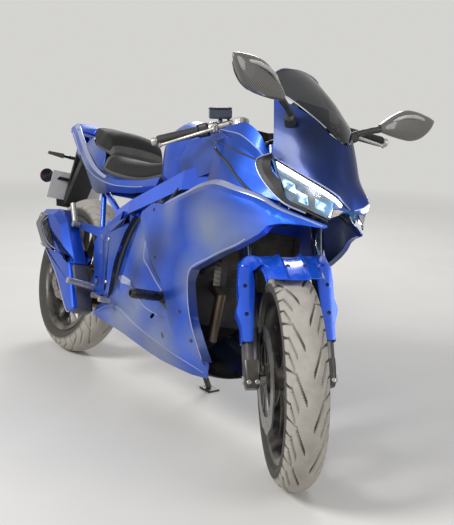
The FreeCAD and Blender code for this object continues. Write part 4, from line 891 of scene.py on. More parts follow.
def facing(points, faces, direction):
    """An open sheet whose faces look along a direction on average."""
    points = np.asarray(points, float).reshape(-1, 3)
    faces = np.asarray(faces)
    corner = points[faces[:, 0]]
    normal = np.cross(points[faces[:, 1]] - corner, points[faces[:, 2]] - corner).sum(0)
    if normal @ np.asarray(direction, float) < 0:
        faces = faces[:, ::-1]
    return points, faces.tolist()


def net_sheet(grid, direction):
    """Open sheet from a grid of points, facing a direction."""
    return facing(grid, strips(*grid.shape[:2]), direction)


bright_blue = sprayed("bright_blue", 0.26, 0.35, 0.7, 0.35, (0.004, 0.06, 0.50), (0.008, 0.13, 0.95))
half_way = np.concatenate([[76, 75, 72], np.linspace(66, 32, 9), [30, 28, 24, 16, 8]])
across = np.concatenate([-half_way, [0], half_way[::-1]])
turn = np.radians(np.linspace(0, 1, 61)[:, None] * (GUARD_REAR - GUARD_FRONT) + GUARD_FRONT)
swept_back = np.radians(8.0) * (abs(across) / GUARD_HALF) ** 3
turn = turn + swept_back * (np.radians(GUARD_REAR) - turn) / np.radians(GUARD_REAR - GUARD_FRONT)
rise = np.clip((np.degrees(turn) - 74) / 26, 0, 1)
rise = rise * rise * (3 - 2 * rise)
drop = np.interp(abs(across), [0, 24, 30, 60, 72, 75, 76], [7, 7, 9, 0, -10, -16, -26])
ridge = np.interp(abs(across), [0, 22, 30, 38, 76], [0, 0, 7, 2, 0])
reach = GUARD_R + drop + rise * (ridge + 12.0)
crown = np.dstack([FRONT_AXLE[0] + reach * np.cos(turn), across + 0 * turn,
                   FRONT_AXLE[2] + reach * np.sin(turn)])
mudguard = build("front_mudguard_crown", *net_sheet(crown, UP), "steering", bright_blue, steer,
                 ["front_mudguard"], 24.0, 3.0, False)
FACE_AHEAD = 31.0
face_line = rounded([(-126, 97), (-126, 140), (-139, 180), (-129, 216), (-130, 258), (-126, 306),
                     (-90, 300), (-86, 254), (-93, 170), (-98, 97)], 8, 5)
face_holes = [(-113.0, 250.0), (-112.0, 172.0)]
spots, faces = flat_net([face_line] + [circle(y, s, GUARD_HOLE_R, 20) for y, s in face_holes], 6.0)
bulge = FACE_AHEAD + 4.0 * (1 - ((spots[:, :1] + 108) / 26) ** 2)
face = leg(0) + spots[:, 1:] * STEER_DIR + bulge * AHEAD
face[:, 1] = spots[:, 0]
side_line = rounded([(-25, 96), (-26, 126), (-33, 160), (-34, 190), (-26, 222), (-25, 316), (29, 306),
                     (29, 96)], 10, 7)
side_spots, side_faces = flat_net([side_line], 8.0)
outer_y = np.interp(side_spots[:, 1], [97, 140, 180, 216, 258, 306], [-127, -127, -138, -130, -131, -127])
side_face = leg(0) + side_spots[:, 1:] * STEER_DIR + side_spots[:, :1] * AHEAD
side_face[:, 1] = outer_y - 1.5 + 2.0 * np.clip((abs(side_spots[:, 0] - 2) - 16) / 14, 0, 1)
plates = [facing(face, faces, AHEAD), facing(side_face, side_faces, -LEFT)]
guard_plates = build("fork_guard_plates", *both(joined(plates)), "steering", bright_blue, steer, (), 30.0,
                     3.0, False)


def on_crown(degrees, y, above):
    """Point over the tyre: angle round the axle, side and height above the guard's radius."""
    return FRONT_AXLE + spoke(math.radians(degrees)) * (GUARD_R + above) + LEFT * y


wing_net = [[leg(318, -127) - AHEAD * 22, on_crown(117, -104, 24), on_crown(113, -74, 24),
             on_crown(106, -34, 26)],
            [leg(322, -127) + AHEAD * 4, on_crown(106, -104, 26), on_crown(101, -76, 22),
             on_crown(96, -38, 20)],
            [leg(296, -126) + AHEAD * 32, leg(292, -92) + AHEAD * 34, on_crown(91, -78, 3),
             on_crown(84, -60, 3)]]
build("mudguard_shoulders", *both(net_sheet(refine(wing_net, 15, 25), AHEAD)), "steering",
      bright_blue, steer, (), 24.0, 4.0, False)
screw_shapes = []
for y, s in face_holes:
    head = leg(s, y) + AHEAD * (FACE_AHEAD - 3)
    screw_shapes.append(turned(head, head + AHEAD * 6.0,
                               [(0, 4.4), (0.8, 4.4), (1, 3.6), (1, 1.8), (0.6, 1.6)], 16))
rivet = on_crown(78, -22, 17)
screw_shapes.append(turned(rivet, rivet + np.array([0.3, 0, 1.0]) * 4, [(0, 6), (0.5, 5.6), (1, 3)], 18))
build("guard_screws", *both(joined(screw_shapes)), "steering", leg_black, steer)

# Handlebars: alloy clip-ons with ribbed rubber grips, cast switch housings, and blade levers on
# split clamps; the smoked brake-fluid cup stands on the right one.
BAR_ROOT = np.array([372.0, -FORK_Y, 972.0])
BAR_TIP = np.array([300.0, -341.0, 914.0])
bar_run = np.linalg.norm(BAR_TIP - BAR_ROOT)
bar_dir = (BAR_TIP - BAR_ROOT) / bar_run


def on_bar(distance, ahead=0.0, rise=0.0):
    """Point by the right bar: distance along it, then ahead and up."""
    return BAR_ROOT + bar_dir * distance + np.array([ahead, 0, rise])


ring_low = leg(leg_at(915.0) + 28, -FORK_Y)
ring_top = leg(TUBE_TOP - 2, -FORK_Y)
bars = [turned(ring_low, ring_top, [(0, 20), (0, 26), (0.06, 27), (0.94, 27), (1, 26), (1, 20)], 36),
        pin(on_bar(14), on_bar(bar_run), 11, 24, 0.03),
        slab(ring_low + AHEAD * 24, ring_top + AHEAD * 24, AHEAD, [(0.1, 16, 14), (0.5, 18, 16),
                                                                    (0.9, 16, 14)], 0.4),
        turned(on_bar(bar_run - 1), on_bar(bar_run + 15), [(0, 13), (0.1, 13.6), (0.8, 13.6), (1, 11),
                                                           (1, 5), (0.7, 4.6)], 30)]
build("clip_on_castings", *both(joined(bars)), "steering", silver.material, steer, ["clip_on_bars"])
share = np.linspace(0, 1, 141)
ribs = 15.2 + 0.8 * (np.sin(share * 2 * np.pi * 28) > 0)
ribs[:3] = 20.5
ribs[3:6] = 18
ribs[-3:] = 14.5
grips = build("ribbed_grips",
              *both(turned(on_bar(bar_run - 132), on_bar(bar_run - 4), np.stack([share, ribs], 1), 32)),
              "steering", rubber, steer, ["grips"])
pod_black = moulded("switch_plastic", (0.016, 0.016, 0.018), 0.42, 0.0001, 0.2)
pods = [slab(on_bar(bar_run - 162), on_bar(bar_run - 134), UP,
             [(0, 34, 34), (0.12, 41, 41), (0.88, 41, 41), (1, 34, 34)], 0.55, 24),
        slab(on_bar(bar_run - 150, -16, 9), on_bar(bar_run - 150, -20, 14), LEFT,
             [(0, 12, 14), (1, 9, 11)], 0.4),
        pin(on_bar(bar_run - 155, -15, -6), on_bar(bar_run - 155, -20, -8), 4, 12)]
switches = build("switch_housings", *both(joined(pods)), "steering", pod_black, steer, ["switch_pods"])
lever_root = on_bar(82, 34, -2)
lever_tip = BAR_TIP + np.array([40.0, 6.0, -12.0])
blade = [lever_root, lever_root + (lever_tip - lever_root) * 0.2 + np.array([3.0, 0, 0]),
         lever_root + (lever_tip - lever_root) * 0.55 + np.array([-3.0, 0, 0]),
         lever_root + (lever_tip - lever_root) * 0.85, lever_tip]
levers = [hose(blade, 5.2, 46, 14,
               [(0, 1.3), (0.15, 1.0), (0.8, 0.82), (0.93, 0.95), (0.97, 1.5), (1, 1.1)]),
          turned(on_bar(66), on_bar(92), [(0, 13), (0, 16), (0.08, 17), (0.92, 17), (1, 16), (1, 13)],
                 28), slab(on_bar(79, 10, -1), lever_root + np.array([2.0, 0, 0]), UP,
                           [(0, 24, 18), (0.6, 22, 15), (1, 18, 13)], 0.5, 20),
          pin(lever_root + UP * -9, lever_root + UP * 9, 5, 16)]
blades = build("lever_blades", *both(joined(levers)), "steering", silver.material, steer, ["hand_levers"])
cup = np.array([352.0, -158.0, 994.0])
smoked = Finish("smoked_cup", roughness=0.22, coat_weight=0.5)
smoked.set("Base Color", smoked.mix(smoked.noise(30.0, 2.0), (0.020, 0.026, 0.045), (0.045, 0.055, 0.085)))
CUP_HALF = 33.0
LID_RISE = 15.5
reservoir = [slab(cup + LEFT * CUP_HALF, cup - LEFT * CUP_HALF, UP,
                  [(0, 30, 22), (0.06, 37, 30), (0.94, 37, 30), (1, 30, 22)], 0.35, 28),
             slab(on_bar(60, 4, 8), cup + np.array([2.0, 0, -12.0]), AHEAD, [(0, 13, 11), (1, 12, 10)],
                  0.4)]
fluid_cup = build("brake_fluid_cup", *joined(reservoir), "steering", smoked.material, steer,
                  ["brake_reservoir"])
lid_at = cup + UP * LID_RISE
lid = [slab(lid_at + LEFT * CUP_HALF, lid_at - LEFT * CUP_HALF, UP,
            [(0, 33, 5), (0.04, 38.5, 5.5), (0.96, 38.5, 5.5), (1, 33, 5)], 0.3, 24)]
for i in (-1, 1):
    lid.append(pin(cup + np.array([0, 26.0 * i, 17.0]), cup + np.array([0, 26.0 * i, 19.5]), 4, 14))
build("fluid_cup_lid", *joined(lid), "steering", pod_black, steer)
line = [cup + np.array([4.0, 22, -14.0]), cup + np.array([26.0, 30, -34.0]),
        cup + np.array([34.0, 44, -70.0]), leg(470, -60) + AHEAD * 6]
build("master_brake_hose", *hose(line, 3.4, 40, 10), "steering", rubber, steer)

# Fuel tank: a pressed steel tank in satin blue, and a raised plastic cover on each shoulder that
# runs forward to the cowl; the cap is a turned alloy ring round a locking plug.


def loft(rings, along, around):
    """Closed skin through half outlines at stations x: cubic round each ring and along the body,
    with each end drawn in to a small flat."""
    xs = np.array([row[0] for row in rings], float)
    halves = np.array([row[1] for row in rings], float)
    right = halves * (-1, 1)
    left = halves[:, ::-1]
    both_top = halves[0, 0, 0] == 0
    loop = np.concatenate([right, left[:, :-1] if both_top else left], 1)
    if halves[0, -1, 0] == 0:
        loop = np.concatenate([right, left[:, 1:-1] if both_top else left[:, 1:]], 1)
    count = loop.shape[1]
    wrapped = np.concatenate([loop[:, -2:], loop, loop[:, :3]], 1)
    t = np.linspace(0, count, around, endpoint=False)
    outline = smooth(np.arange(-2, count + 3), np.moveaxis(wrapped, 1, 2), t)
    s = np.linspace(0, 1, along)
    at = xs[0] + (xs[-1] - xs[0]) * (0.5 - 0.5 * np.cos(s * np.pi))
    order = slice(None, None, 1 if xs[-1] > xs[0] else -1)
    body = smooth(xs[order], np.moveaxis(outline[order], 0, 2), at)
    body = np.moveaxis(body, 2, 0)
    middle = body.mean(2, keepdims=True)

    def drawn_in(i, share):
        small = middle[i] + (body[i] - middle[i]) * share
        return np.dstack([np.full((1, around), at[i]), small[None, 0], small[None, 1]])

    pull = 1 - 0.08 * np.exp(-np.minimum(s, 1 - s) * along / 1.6)
    ring_points = middle + (body - middle) * pull[:, None, None]
    rings_all = np.dstack([np.repeat(at[:, None], around, 1), ring_points[:, 0], ring_points[:, 1]])
    grid = [drawn_in(0, 0.4), drawn_in(0, 0.8), rings_all, drawn_in(-1, 0.8), drawn_in(-1, 0.4)]
    return np.concatenate(grid)


tank_rings = [
    (252, [(0, 884), (40, 882), (84, 860), (88, 800), (60, 752), (0, 752)]),
    (180, [(0, 926), (58, 924), (118, 888), (118, 800), (96, 744), (0, 744)]),
    (60, [(0, 934), (62, 932), (126, 880), (136, 790), (108, 730), (0, 730)]),
    (-60, [(0, 918), (58, 915), (110, 862), (112, 790), (90, 728), (0, 728)]),
    (-106, [(0, 852), (46, 850), (72, 822), (76, 780), (58, 742), (0, 742)])]
tank = build("tank_shell", *capped(loft(tank_rings, 70, 72)), "chassis", paint, park, ["fuel_tank"], 40.0)
CAP = np.array([66.0, 0.0, 940.0])
cap_ring = [turned(CAP + UP * 0.3, CAP + UP * 7,
                   [(0, 47), (0.7, 47), (1, 44), (1, 33), (0.75, 32), (0.75, 12), (1, 11)], 56)]
for k in range(6):
    spot = CAP + np.array([math.cos(k * math.pi / 3), math.sin(k * math.pi / 3), 0]) * 39.5 + UP * 6
    cap_ring.append(pin(spot, spot + UP * 2.4, 3.2, 10))
cap_ring.append(slab(CAP + np.array([-9.0, 0, 6.8]), CAP + np.array([9.0, 0, 6.8]), UP,
                     [(0, 14, 2), (1, 14, 2)], 0.4))
filler = build("filler_cap_ring", *joined(cap_ring), "filler_cap", silver.material, park, ["fuel_cap"])
build("filler_neck", *turned(CAP - UP * 16, CAP - UP * 0.2, [(0, 46), (1, 47), (1, 31), (0, 30)], 48),
      "chassis", leg_black)
cover_net = [
    [(62, -112, 868), (120, -112, 902), (190, -112, 922), (262, -108, 912), (318, -118, 898)],
    [(58, -130, 842), (120, -136, 870), (196, -138, 884), (268, -142, 872), (322, -150, 866)],
    [(66, -138, 806), (128, -142, 814), (200, -146, 818), (270, -152, 822), (334, -160, 834)],
    [(92, -130, 768), (150, -134, 762), (212, -140, 768), (276, -148, 784), (340, -158, 802)]]
covers = build("tank_side_covers", *both(net_sheet(refine(cover_net, 31, 41, True), (0, -1, 0.3))),
               "chassis", paint, park, (), 22.0, 4.0, outward=False)

# Seats: moulded foam under black vinyl with a paler sewn border; the rider's is low and dished,
# the passenger's a short pad on the tail. Vinyl follows a "border" value kept on the mesh.
vinyl = Finish("seat_vinyl", specular_ior_level=0.22)
border = vinyl.add("ShaderNodeAttribute", {"attribute_name": "border"}, {}, "Fac")
scuff = vinyl.noise(26.0, 4.0)
dark_vinyl = vinyl.mix(scuff, (0.006, 0.006, 0.006), (0.016, 0.0155, 0.015))
pale_vinyl = vinyl.mix(scuff, (0.050, 0.048, 0.046), (0.105, 0.102, 0.096))
vinyl.set("Base Color", vinyl.mix(border, dark_vinyl, pale_vinyl))
vinyl.set("Roughness", scuff * 0.16 + 0.48)
grain = vinyl.add("ShaderNodeTexVoronoi", {"feature": "DISTANCE_TO_EDGE"},
                  {"Vector": vinyl.spot, "Scale": 420.0}, "Distance")
vinyl.bump(grain.clip(0.0, 0.25) + vinyl.noise(45.0, 3.0) * 2.0, 0.00035, 0.8)


SEAM_HALF = 2.2


def pad(name, rings, hides, crown, border_wide):
    """Seat pad: a loft crowned by crown * (1 - s^2)^2 on top; a seam groove runs round the sides
    a border's width above the rim and across both ends."""
    grid = loft(rings, 110, 132)
    top = grid[..., 2].max(1)[:, None]
    low = grid[..., 2].min(1)[:, None]
    wide = abs(grid[..., 1]).max(1)[:, None] + 1e-6
    upper = np.clip((grid[..., 2] - low) / (top - low + 1e-6), 0, 1)
    s = abs(grid[..., 1]) / wide
    ends = np.minimum(abs(grid[..., 0] - rings[0][0]), abs(grid[..., 0] - rings[-1][0]))
    on_top = np.clip((upper - 0.45) / 0.3, 0, 1) * np.clip(ends / 40, 0, 1)
    inside = np.minimum(grid[..., 2] - low, ends) - border_wide
    stitch = np.exp(-(inside / SEAM_HALF) ** 2)
    grid[..., 2] += crown * (1 - s ** 2) ** 2 * on_top - 1.8 * stitch * (upper > 0.6)
    grid[..., 1] -= np.sign(grid[..., 1]) * 2.2 * stitch * np.clip(wide / 30, 0, 1)
    points, faces = capped(grid)
    piece = build(name, points, faces, "chassis", vinyl.material, park, hides, 60.0, 0.0, False)
    mark = piece.data.attributes.new("border", "FLOAT", "POINT")
    mark.data.foreach_set("value", np.clip(0.5 - inside / 3.0, 0, 1).ravel())
    face_out(piece.data)


pad("rider_seat_pad", [
    (-109, [(0, 806), (44, 800), (60, 780), (54, 744), (0, 744)]),
    (-200, [(0, 786), (62, 782), (92, 756), (88, 712), (0, 710)]),
    (-330, [(0, 776), (96, 776), (134, 748), (128, 708), (0, 708)]),
    (-428, [(0, 786), (104, 784), (131, 756), (122, 718), (0, 718)])], ["rider_seat"], 5.0, 20.0)
pad("pillion_pad", [
    (-434, [(0, 800), (86, 798), (102, 790), (99, 776), (0, 776)]),
    (-472, [(0, 856), (90, 850), (116, 828), (112, 788), (0, 786)]),
    (-560, [(0, 872), (84, 866), (108, 838), (102, 800), (0, 800)]),
    (-640, [(0, 880), (68, 876), (86, 860), (80, 828), (0, 828)]),
    (-704, [(0, 882), (46, 879), (58, 868), (52, 850), (0, 850)])], ["pillion_seat"], 4.0, 16.0)

# Tail: two satin blue wings that sweep up beside the pad and leave a hand hole, a bridge over the
# red lamp, and a black tray under the seat.
tail_rows = [[(-30, -128, 742), (-180, -122, 716), (-330, -140, 702), (-470, -140, 730),
              (-640, -118, 800), (-800, -84, 866), (-880, -62, 886)],
             [(-30, -136, 712), (-180, -140, 690), (-330, -150, 682), (-500, -146, 706),
              (-660, -122, 762), (-810, -90, 822), (-930, -60, 858)],
             [(-30, -124, 700), (-200, -124, 668), (-330, -128, 655), (-470, -126, 640),
              (-640, -104, 716), (-800, -78, 782), (-930, -50, 830)]]
tail_fine = refine(tail_rows, 21, 90, True)
seat_rim = [[(-200, -121, 714), (-330, -139, 703), (-430, -139, 722), (-470, -138, 731),
             (-560, -128, 766), (-652, -115, 804)],
            [(-200, -95, 712), (-330, -131, 712), (-430, -128, 728), (-470, -117, 788), (-560, -113, 806),
             (-652, -92, 836)]]
rim_strip = net_sheet(refine(seat_rim, 7, 60, True), (0, -0.5, 1))
tail = build("tail_wings", *both(joined([net_sheet(tail_fine, -LEFT), rim_strip])), "chassis", paint,
             park, ["tail_cowl"], 24.0, 4.0, outward=False)
# Painted highlight: a pale band along the wings' upper edge and a thin pale strip along their crease.
band = tail_fine[0:6, 34:88] + np.array([0, -1.2, 0.4])
wing_highlights = [net_sheet(band, -LEFT), hose(tail_fine[10, 8:86:3], 1.8, 120, 8)]
tail_highlights = build("tail_wing_edges", *both(joined(wing_highlights)), "chassis", edge_silver, park)
build("tail_bridge",
      *capped(loft([(-702, [(0, 876), (54, 873), (64, 862), (58, 842), (0, 840)]),
                    (-806, [(0, 878), (60, 874), (83, 862), (80, 852), (0, 858)]),
                    (-880, [(0, 888), (56, 884), (62, 872), (58, 862), (0, 866)]),
                    (-950, [(0, 872), (50, 866), (54, 852), (46, 840), (0, 842)])], 40, 64)), "chassis",
      paint, park, (), 40.0)
tray_net = [[(x, k * y, z + 8 * (1 - k * k)) for k in (-1, -0.5, 0, 0.5, 1)] for x, y, z in
            ((-470, 124, 641), (-640, 102, 717), (-800, 76, 783), (-930, 48, 831))]
tray_black = moulded("tray_plastic", (0.014, 0.014, 0.015), 0.5, 0.0003, 0.3)
build("under_tray", *net_sheet(refine(tray_net, 50, 17), -UP), "chassis", tray_black, park, (), 40.0, 3.0,
      outward=False)

# Side fairings: one large moulding a side in satin blue, with a folded shoulder along the top, an
# arch over the wheel and a leg down beside it; the arch and leg have a turned-in flange.


def side_field(stations, table):
    """Half width y(x, z) from rows of (z, widths at the stations): cubic along x, then along z,
    kept on a dense grid and read between its points by straight shares."""
    heights = np.array([row[0] for row in table], float)[::-1]
    widths = np.array([row[1] for row in table], float)[::-1]
    gx = np.linspace(stations[0], stations[-1], 161)
    gz = np.linspace(heights[0], heights[-1], 161)
    grid = smooth(heights, smooth(stations, widths, gx).T, gz)

    def outer(spots):
        a = np.clip((spots[:, 0] - gx[0]) / (gx[1] - gx[0]), 0, 159.999)
        b = np.clip((spots[:, 1] - gz[0]) / (gz[1] - gz[0]), 0, 159.999)
        i = a.astype(int)
        j = b.astype(int)
        a = a - i
        b = b - j
        return ((grid[i, j] * (1 - a) + grid[i + 1, j] * a) * (1 - b)
                + (grid[i, j + 1] * (1 - a) + grid[i + 1, j + 1] * a) * b)
    return outer


def beside(line, gap):
    """A line moved to its right-hand side by a gap."""
    run = np.gradient(line, axis=0)
    run /= np.linalg.norm(run, axis=1)[:, None]
    return line + np.stack([run[:, 1], -run[:, 0]], 1) * gap


def turned_in(edge, out, shift, widths):
    """Flange: rows of points from the panel's edge inward, each a share of the last width."""
    share = np.linspace(0, 1, 5)[:, None]
    y = out[None] - share * widths[None]
    return np.dstack([edge[None, :, 0] + share * shift[0], -y, edge[None, :, 1] + share * shift[1]])


FOLD_DEPTH = 11.0
ON_EDGE = 2.6


def width_at(out, x, z):
    """A panel's half width at one point of the side view."""
    return out(np.array([[x, z]], float))[0]


fairing_width = side_field((-60, 110, 260, 400, 520, 620, 760), (
    (790, (150, 160, 180, 190, 175, 120, 40)), (735, (156, 176, 206, 218, 196, 142, 58)),
    (690, (160, 188, 214, 214, 192, 147, 60)), (620, (162, 186, 202, 198, 184, 145, 60)),
    (540, (160, 177, 187, 184, 176, 140, 60)), (440, (154, 167, 173, 166, 150, 120, 60)),
    (230, (140, 149, 146, 100, 88, 80, 60))))
fairing_top = np.array([(130, 664), (230, 706), (400, 769), (477, 764), (563, 755), (616, 736), (682, 722),
                        (740, 712)], float)
fairing_loop = rounded([(-37, 606), (-30, 622), (50, 658), (130, 664), (230, 706), (400, 769), (477, 764),
                        (563, 755), (616, 736), (682, 722), (740, 712), (736, 704), (690, 700),
                        (639, 691), (608, 677), (594, 654), (562, 627), (520, 597), (343, 505),
                        (327, 470), (346, 365), (394, 249), (386, 246), (310, 280), (262, 318),
                        (218, 389), (175, 438), (102, 479), (31, 540)], 7, 6)
SHOULDER = 25.0


def fairing_out(spots):
    """The half width less a folded shoulder, 11 mm deep at the top edge."""
    fold = np.clip(1 - gap_to(spots, fairing_top) / SHOULDER, 0, 1)
    return fairing_width(spots) - FOLD_DEPTH * fold * np.clip((spots[:, 0] - 120) / 140, 0, 1)


flange_line = np.array([(690, 700), (639, 691), (608, 677), (594, 654), (562, 627), (520, 597), (343, 505),
                        (327, 470), (346, 365), (394, 249)], float)
rear_line = np.array([(310, 280), (262, 318), (218, 389), (175, 438), (102, 479), (31, 540)], float)
shoulder_line = beside(fairing_top, SHOULDER)[1:-1]
spots, faces = flat_net([fairing_loop], 7.0, [shoulder_line])
panel = np.stack([spots[:, 0], -fairing_out(spots), spots[:, 1]], 1)
fairing_shapes = [facing(panel, faces, -LEFT)]
edge = fairing_loop[gap_to(fairing_loop, flange_line) < ON_EDGE]
lip = np.interp(np.arange(len(edge)), [0, len(edge) * 0.25, len(edge)], [14, 24, 32])
fairing_shapes.append(net_sheet(turned_in(edge, fairing_out(edge), (3, 1), lip), (1, 0, -1)))
edge = fairing_loop[gap_to(fairing_loop, rear_line) < ON_EDGE]
fairing_shapes.append(net_sheet(turned_in(edge, fairing_out(edge), (-2, -1), np.full(len(edge), 12.0)),
                                (-1, 0, -0.6)))
side_fairings = build("side_fairing_panels", *both(joined(fairing_shapes)), "chassis", paint, park,
                      ["side_fairing_left", "side_fairing_right"], 20.0, 3.0, outward=False)


def ribbon(line, widths, out, lift, count=60):
    """Strip on a panel along a line of the side view: it is widths wide across the line and stands
    lift proud of the panel's half width, falling to the panel at both edges."""
    line = np.asarray(line, float)
    t = np.linspace(0, len(line) - 1, count)
    middle = smooth(np.arange(len(line)), line.T, t).T
    wide = np.interp(t, np.arange(len(line)), widths)
    run = np.gradient(middle, axis=0)
    run /= np.linalg.norm(run, axis=1)[:, None]
    across = np.stack([-run[:, 1], run[:, 0]], 1)
    rows = []
    for share, rise in ((-0.5, -0.4), (-0.36, 1), (0, 1.15), (0.36, 1), (0.5, -0.4)):
        spots = middle + across * (wide * share)[:, None]
        rows.append(np.stack([spots[:, 0], -out(spots) - lift * rise, spots[:, 1]], 1))
    return net_sheet(np.stack(rows), -LEFT)


# Painted highlights: pale ribbons along the folded shoulder and the arch's edge, where light catches the
# panel.
crown_line = [(150, 668), (232, 700), (330, 742), (400, 762), (477, 757), (560, 748), (616, 730),
              (682, 717), (730, 708)]
arch_line = [(556, 630), (520, 603), (430, 556), (343, 510), (330, 470), (348, 366), (390, 256)]
edges = [ribbon(crown_line, [3, 9, 13, 16, 14, 11, 8, 5, 3], fairing_out, 0.8),
         ribbon(arch_line, [3, 4, 4, 4, 4, 4, 3], fairing_out, 0.5)]
fairing_highlights = build("fairing_edge_lights", *both(joined(edges)), "chassis", edge_silver, park)
trim_bolts = []
for x, z in ((70, 640), (352, 300), (300, 372), (120, 500)):
    at = np.array([x, -width_at(fairing_out, x, z) + 1, z])
    trim_bolts.append(turned(at, at - LEFT * 2.6, [(0, 6.5), (0.6, 6.2), (1, 4.6), (1, 2.4), (0.4, 2.2)],
                             20))
build("fairing_bolts", *both(joined(trim_bolts)), "chassis", leg_black)

# Lower fairings: satin blue panels under the side fairings, creased down the middle and along the
# belly, with a hole for the crash bobbin and one for a fixing; the black keel closes them below.
lower_width = side_field((-300, -160, 0, 150, 300, 400), (
    (640, (112, 124, 138, 146, 140, 90)), (520, (118, 132, 146, 150, 144, 90)),
    (400, (124, 136, 150, 150, 140, 88)), (330, (132, 142, 146, 144, 132, 84)),
    (270, (140, 146, 150, 148, 128, 80)), (180, (112, 116, 118, 112, 92, 66))))
lower_loop = rounded([(-285, 225), (-208, 280), (-176, 310), (-158, 362), (-156, 440), (-149, 512),
                      (-116, 600), (-50, 612), (60, 570), (190, 450), (250, 360), (330, 280), (392, 244),
                      (393, 200), (332, 193), (186, 195), (-48, 219)], 6, 7)
side_crease = np.array([(-62, 596), (-92, 440), (-104, 345), (-150, 318)], float)
belly_crease = np.array([(-250, 246), (-104, 296), (60, 272), (128, 262), (300, 232), (384, 214)], float)
panel_crease = np.array([(-104, 345), (-40, 372), (60, 330), (180, 330)], float)


def lower_out(spots):
    """The half width plus ridges, straight-sided, along the creases."""
    ridge = 8.0 * np.clip(1 - gap_to(spots, side_crease) / 38, 0, 1)
    ridge += 6.0 * np.clip(1 - gap_to(spots, belly_crease) / 34, 0, 1)
    return lower_width(spots) + ridge - 6.0 * np.clip(1 - gap_to(spots, panel_crease) / 22, 0, 1)


loops = [lower_loop, circle(128, 318, 9, 24), circle(175, 388, 17, 24)]
spots, faces = flat_net(loops, 8.0, [side_crease, belly_crease, panel_crease])
panel = np.stack([spots[:, 0], -lower_out(spots), spots[:, 1]], 1)
lower = [facing(panel, faces, -LEFT)]
edge = lower_loop[gap_to(lower_loop,
                         np.array([(-285, 225), (-208, 280), (-176, 310), (-158, 362), (-156, 440),
                                   (-149, 512), (-116, 600)], float)) < ON_EDGE]
lower.append(net_sheet(turned_in(edge, lower_out(edge), (-2, 0), np.full(len(edge), 10.0)), (-1, 0, 0.2)))
lower_fairings = build("lower_fairing_panels", *both(joined(lower)), "chassis", paint, park,
                       ["lower_fairing_left", "lower_fairing_right"], 20.0, 3.0, outward=False)
# Painted shade: black strips on the lower panels where the gaps behind the side fairing and the bobbin lie
# in shade.
shade_slots = [ribbon([(30, 530), (62, 484), (122, 446), (188, 414), (222, 378)], [3, 15, 18, 13, 3], lower_out,
                1.2), ribbon([(150, 386), (196, 368), (240, 346)], [22, 24, 8], lower_out, 1.0),
         ribbon([(262, 312), (318, 276), (382, 236)], [3, 9, 5], lower_out, 1.0),
         ribbon([(206, 284), (213, 278), (220, 272)], [7, 9, 7], lower_out, 1.2)]
build("lower_fairing_slots", *both(joined(shade_slots)), "chassis", leg_black)
# Painted highlights: pale ribbons along the lower panels' edges and creases.
glints = [ribbon([(-34, 606), (-6, 530), (12, 480), (60, 456), (122, 424), (187, 390), (236, 340),
                  (300, 282)], [3, 4, 5, 5, 5, 4, 4, 3], lower_out, 0.9),
          ribbon([(-232, 250), (-104, 295), (60, 271), (128, 261), (300, 231), (380, 213)],
                 [3, 4, 4, 4, 4, 3], lower_out, 0.6),
          ribbon([(-138, 386), (-92, 388), (-42, 384)], [12, 28, 20], lower_out, 0.9),
          ribbon([(-40, 372), (60, 334), (150, 326)], [3, 4, 3], lower_out, 0.6)]
fairing_glints = build("lower_fairing_edges", *both(joined(glints)), "chassis", edge_silver)
keel_rows = []
for x, z, dip in ((-200, 228, 8), (-100, 226, 9), (0, 224, 10), (100, 215, 11), (186, 206, 12),
                  (330, 204, 12), (380, 210, 10)):
    half = width_at(lower_width, x, z) - 5
    keel_rows.append([(x, k * half, z - dip * (1 - k * k)) for k in (-1, -0.6, 0, 0.6, 1)])
keel = build("belly_keel_pan", *net_sheet(refine(keel_rows, 60, 25), -UP), "chassis", tray_black, park,
             ["belly_keel"], 30.0, 3.0, outward=False)

# Crash bobbins: a turned rubber sleeve on a long bolt that stands out through the
# hole in each lower fairing.
bobbin_rubber = moulded("bobbin_rubber", (0.010, 0.010, 0.011), 0.28, 0.00008, 0.1)
foot = np.array([175.0, -146.0, 388.0])
end = np.array([175.0, -262.0, 388.0])
bobbins = build("crash_bobbin_sleeves",
                *both(turned(foot, end, [(0, 14), (0.02, 15), (0.1, 15), (0.12, 13.4), (0.15, 13.4),
                                         (0.17, 15), (0.55, 15.2), (0.9, 15.8), (0.96, 15), (1, 12.4),
                                         (1, 8.6), (0.94, 7.5)], 44)), "chassis", bobbin_rubber, park,
                ["crash_bobbins"], 40.0)
build("bobbin_collars", *both(joined([
    turned(foot - LEFT * 4, foot - LEFT * 9, [(0, 15), (0, 20), (0.6, 20), (1, 18), (1, 14)], 36),
    pin(end + LEFT * 9, end + LEFT * 5, 6.5, 6, 0.08)])), "chassis", leg_black)

# Footrests and pedals: cut plates in blue, turned pegs and levers in bare alloy, and black heel
# guards, all bolted to the frame.
wear(["footrest_brackets"], paint)
wear(["footrests", "foot_levers", "foot_pegs"], silver.material)


def lidded(outline, rows):
    """Closed plate from rings of an outline in side view; rows are (y, inset), and an inset moves
    each point along the mean of its two sides' normals."""
    run = np.roll(outline, -1, 0) - np.roll(outline, 1, 0)
    run /= np.linalg.norm(run, axis=1)[:, None]
    inward = np.stack([-run[:, 1], run[:, 0]], 1)
    area = (outline[:, 0] * np.roll(outline[:, 1], -1) - np.roll(outline[:, 0], -1) * outline[:, 1]).sum()
    inward *= np.sign(area)
    grid = np.stack([np.stack([ring[:, 0], np.full(len(ring), y), ring[:, 1]], 1)
                     for y, depth in rows for ring in [outline + inward * depth]])
    return capped(grid)


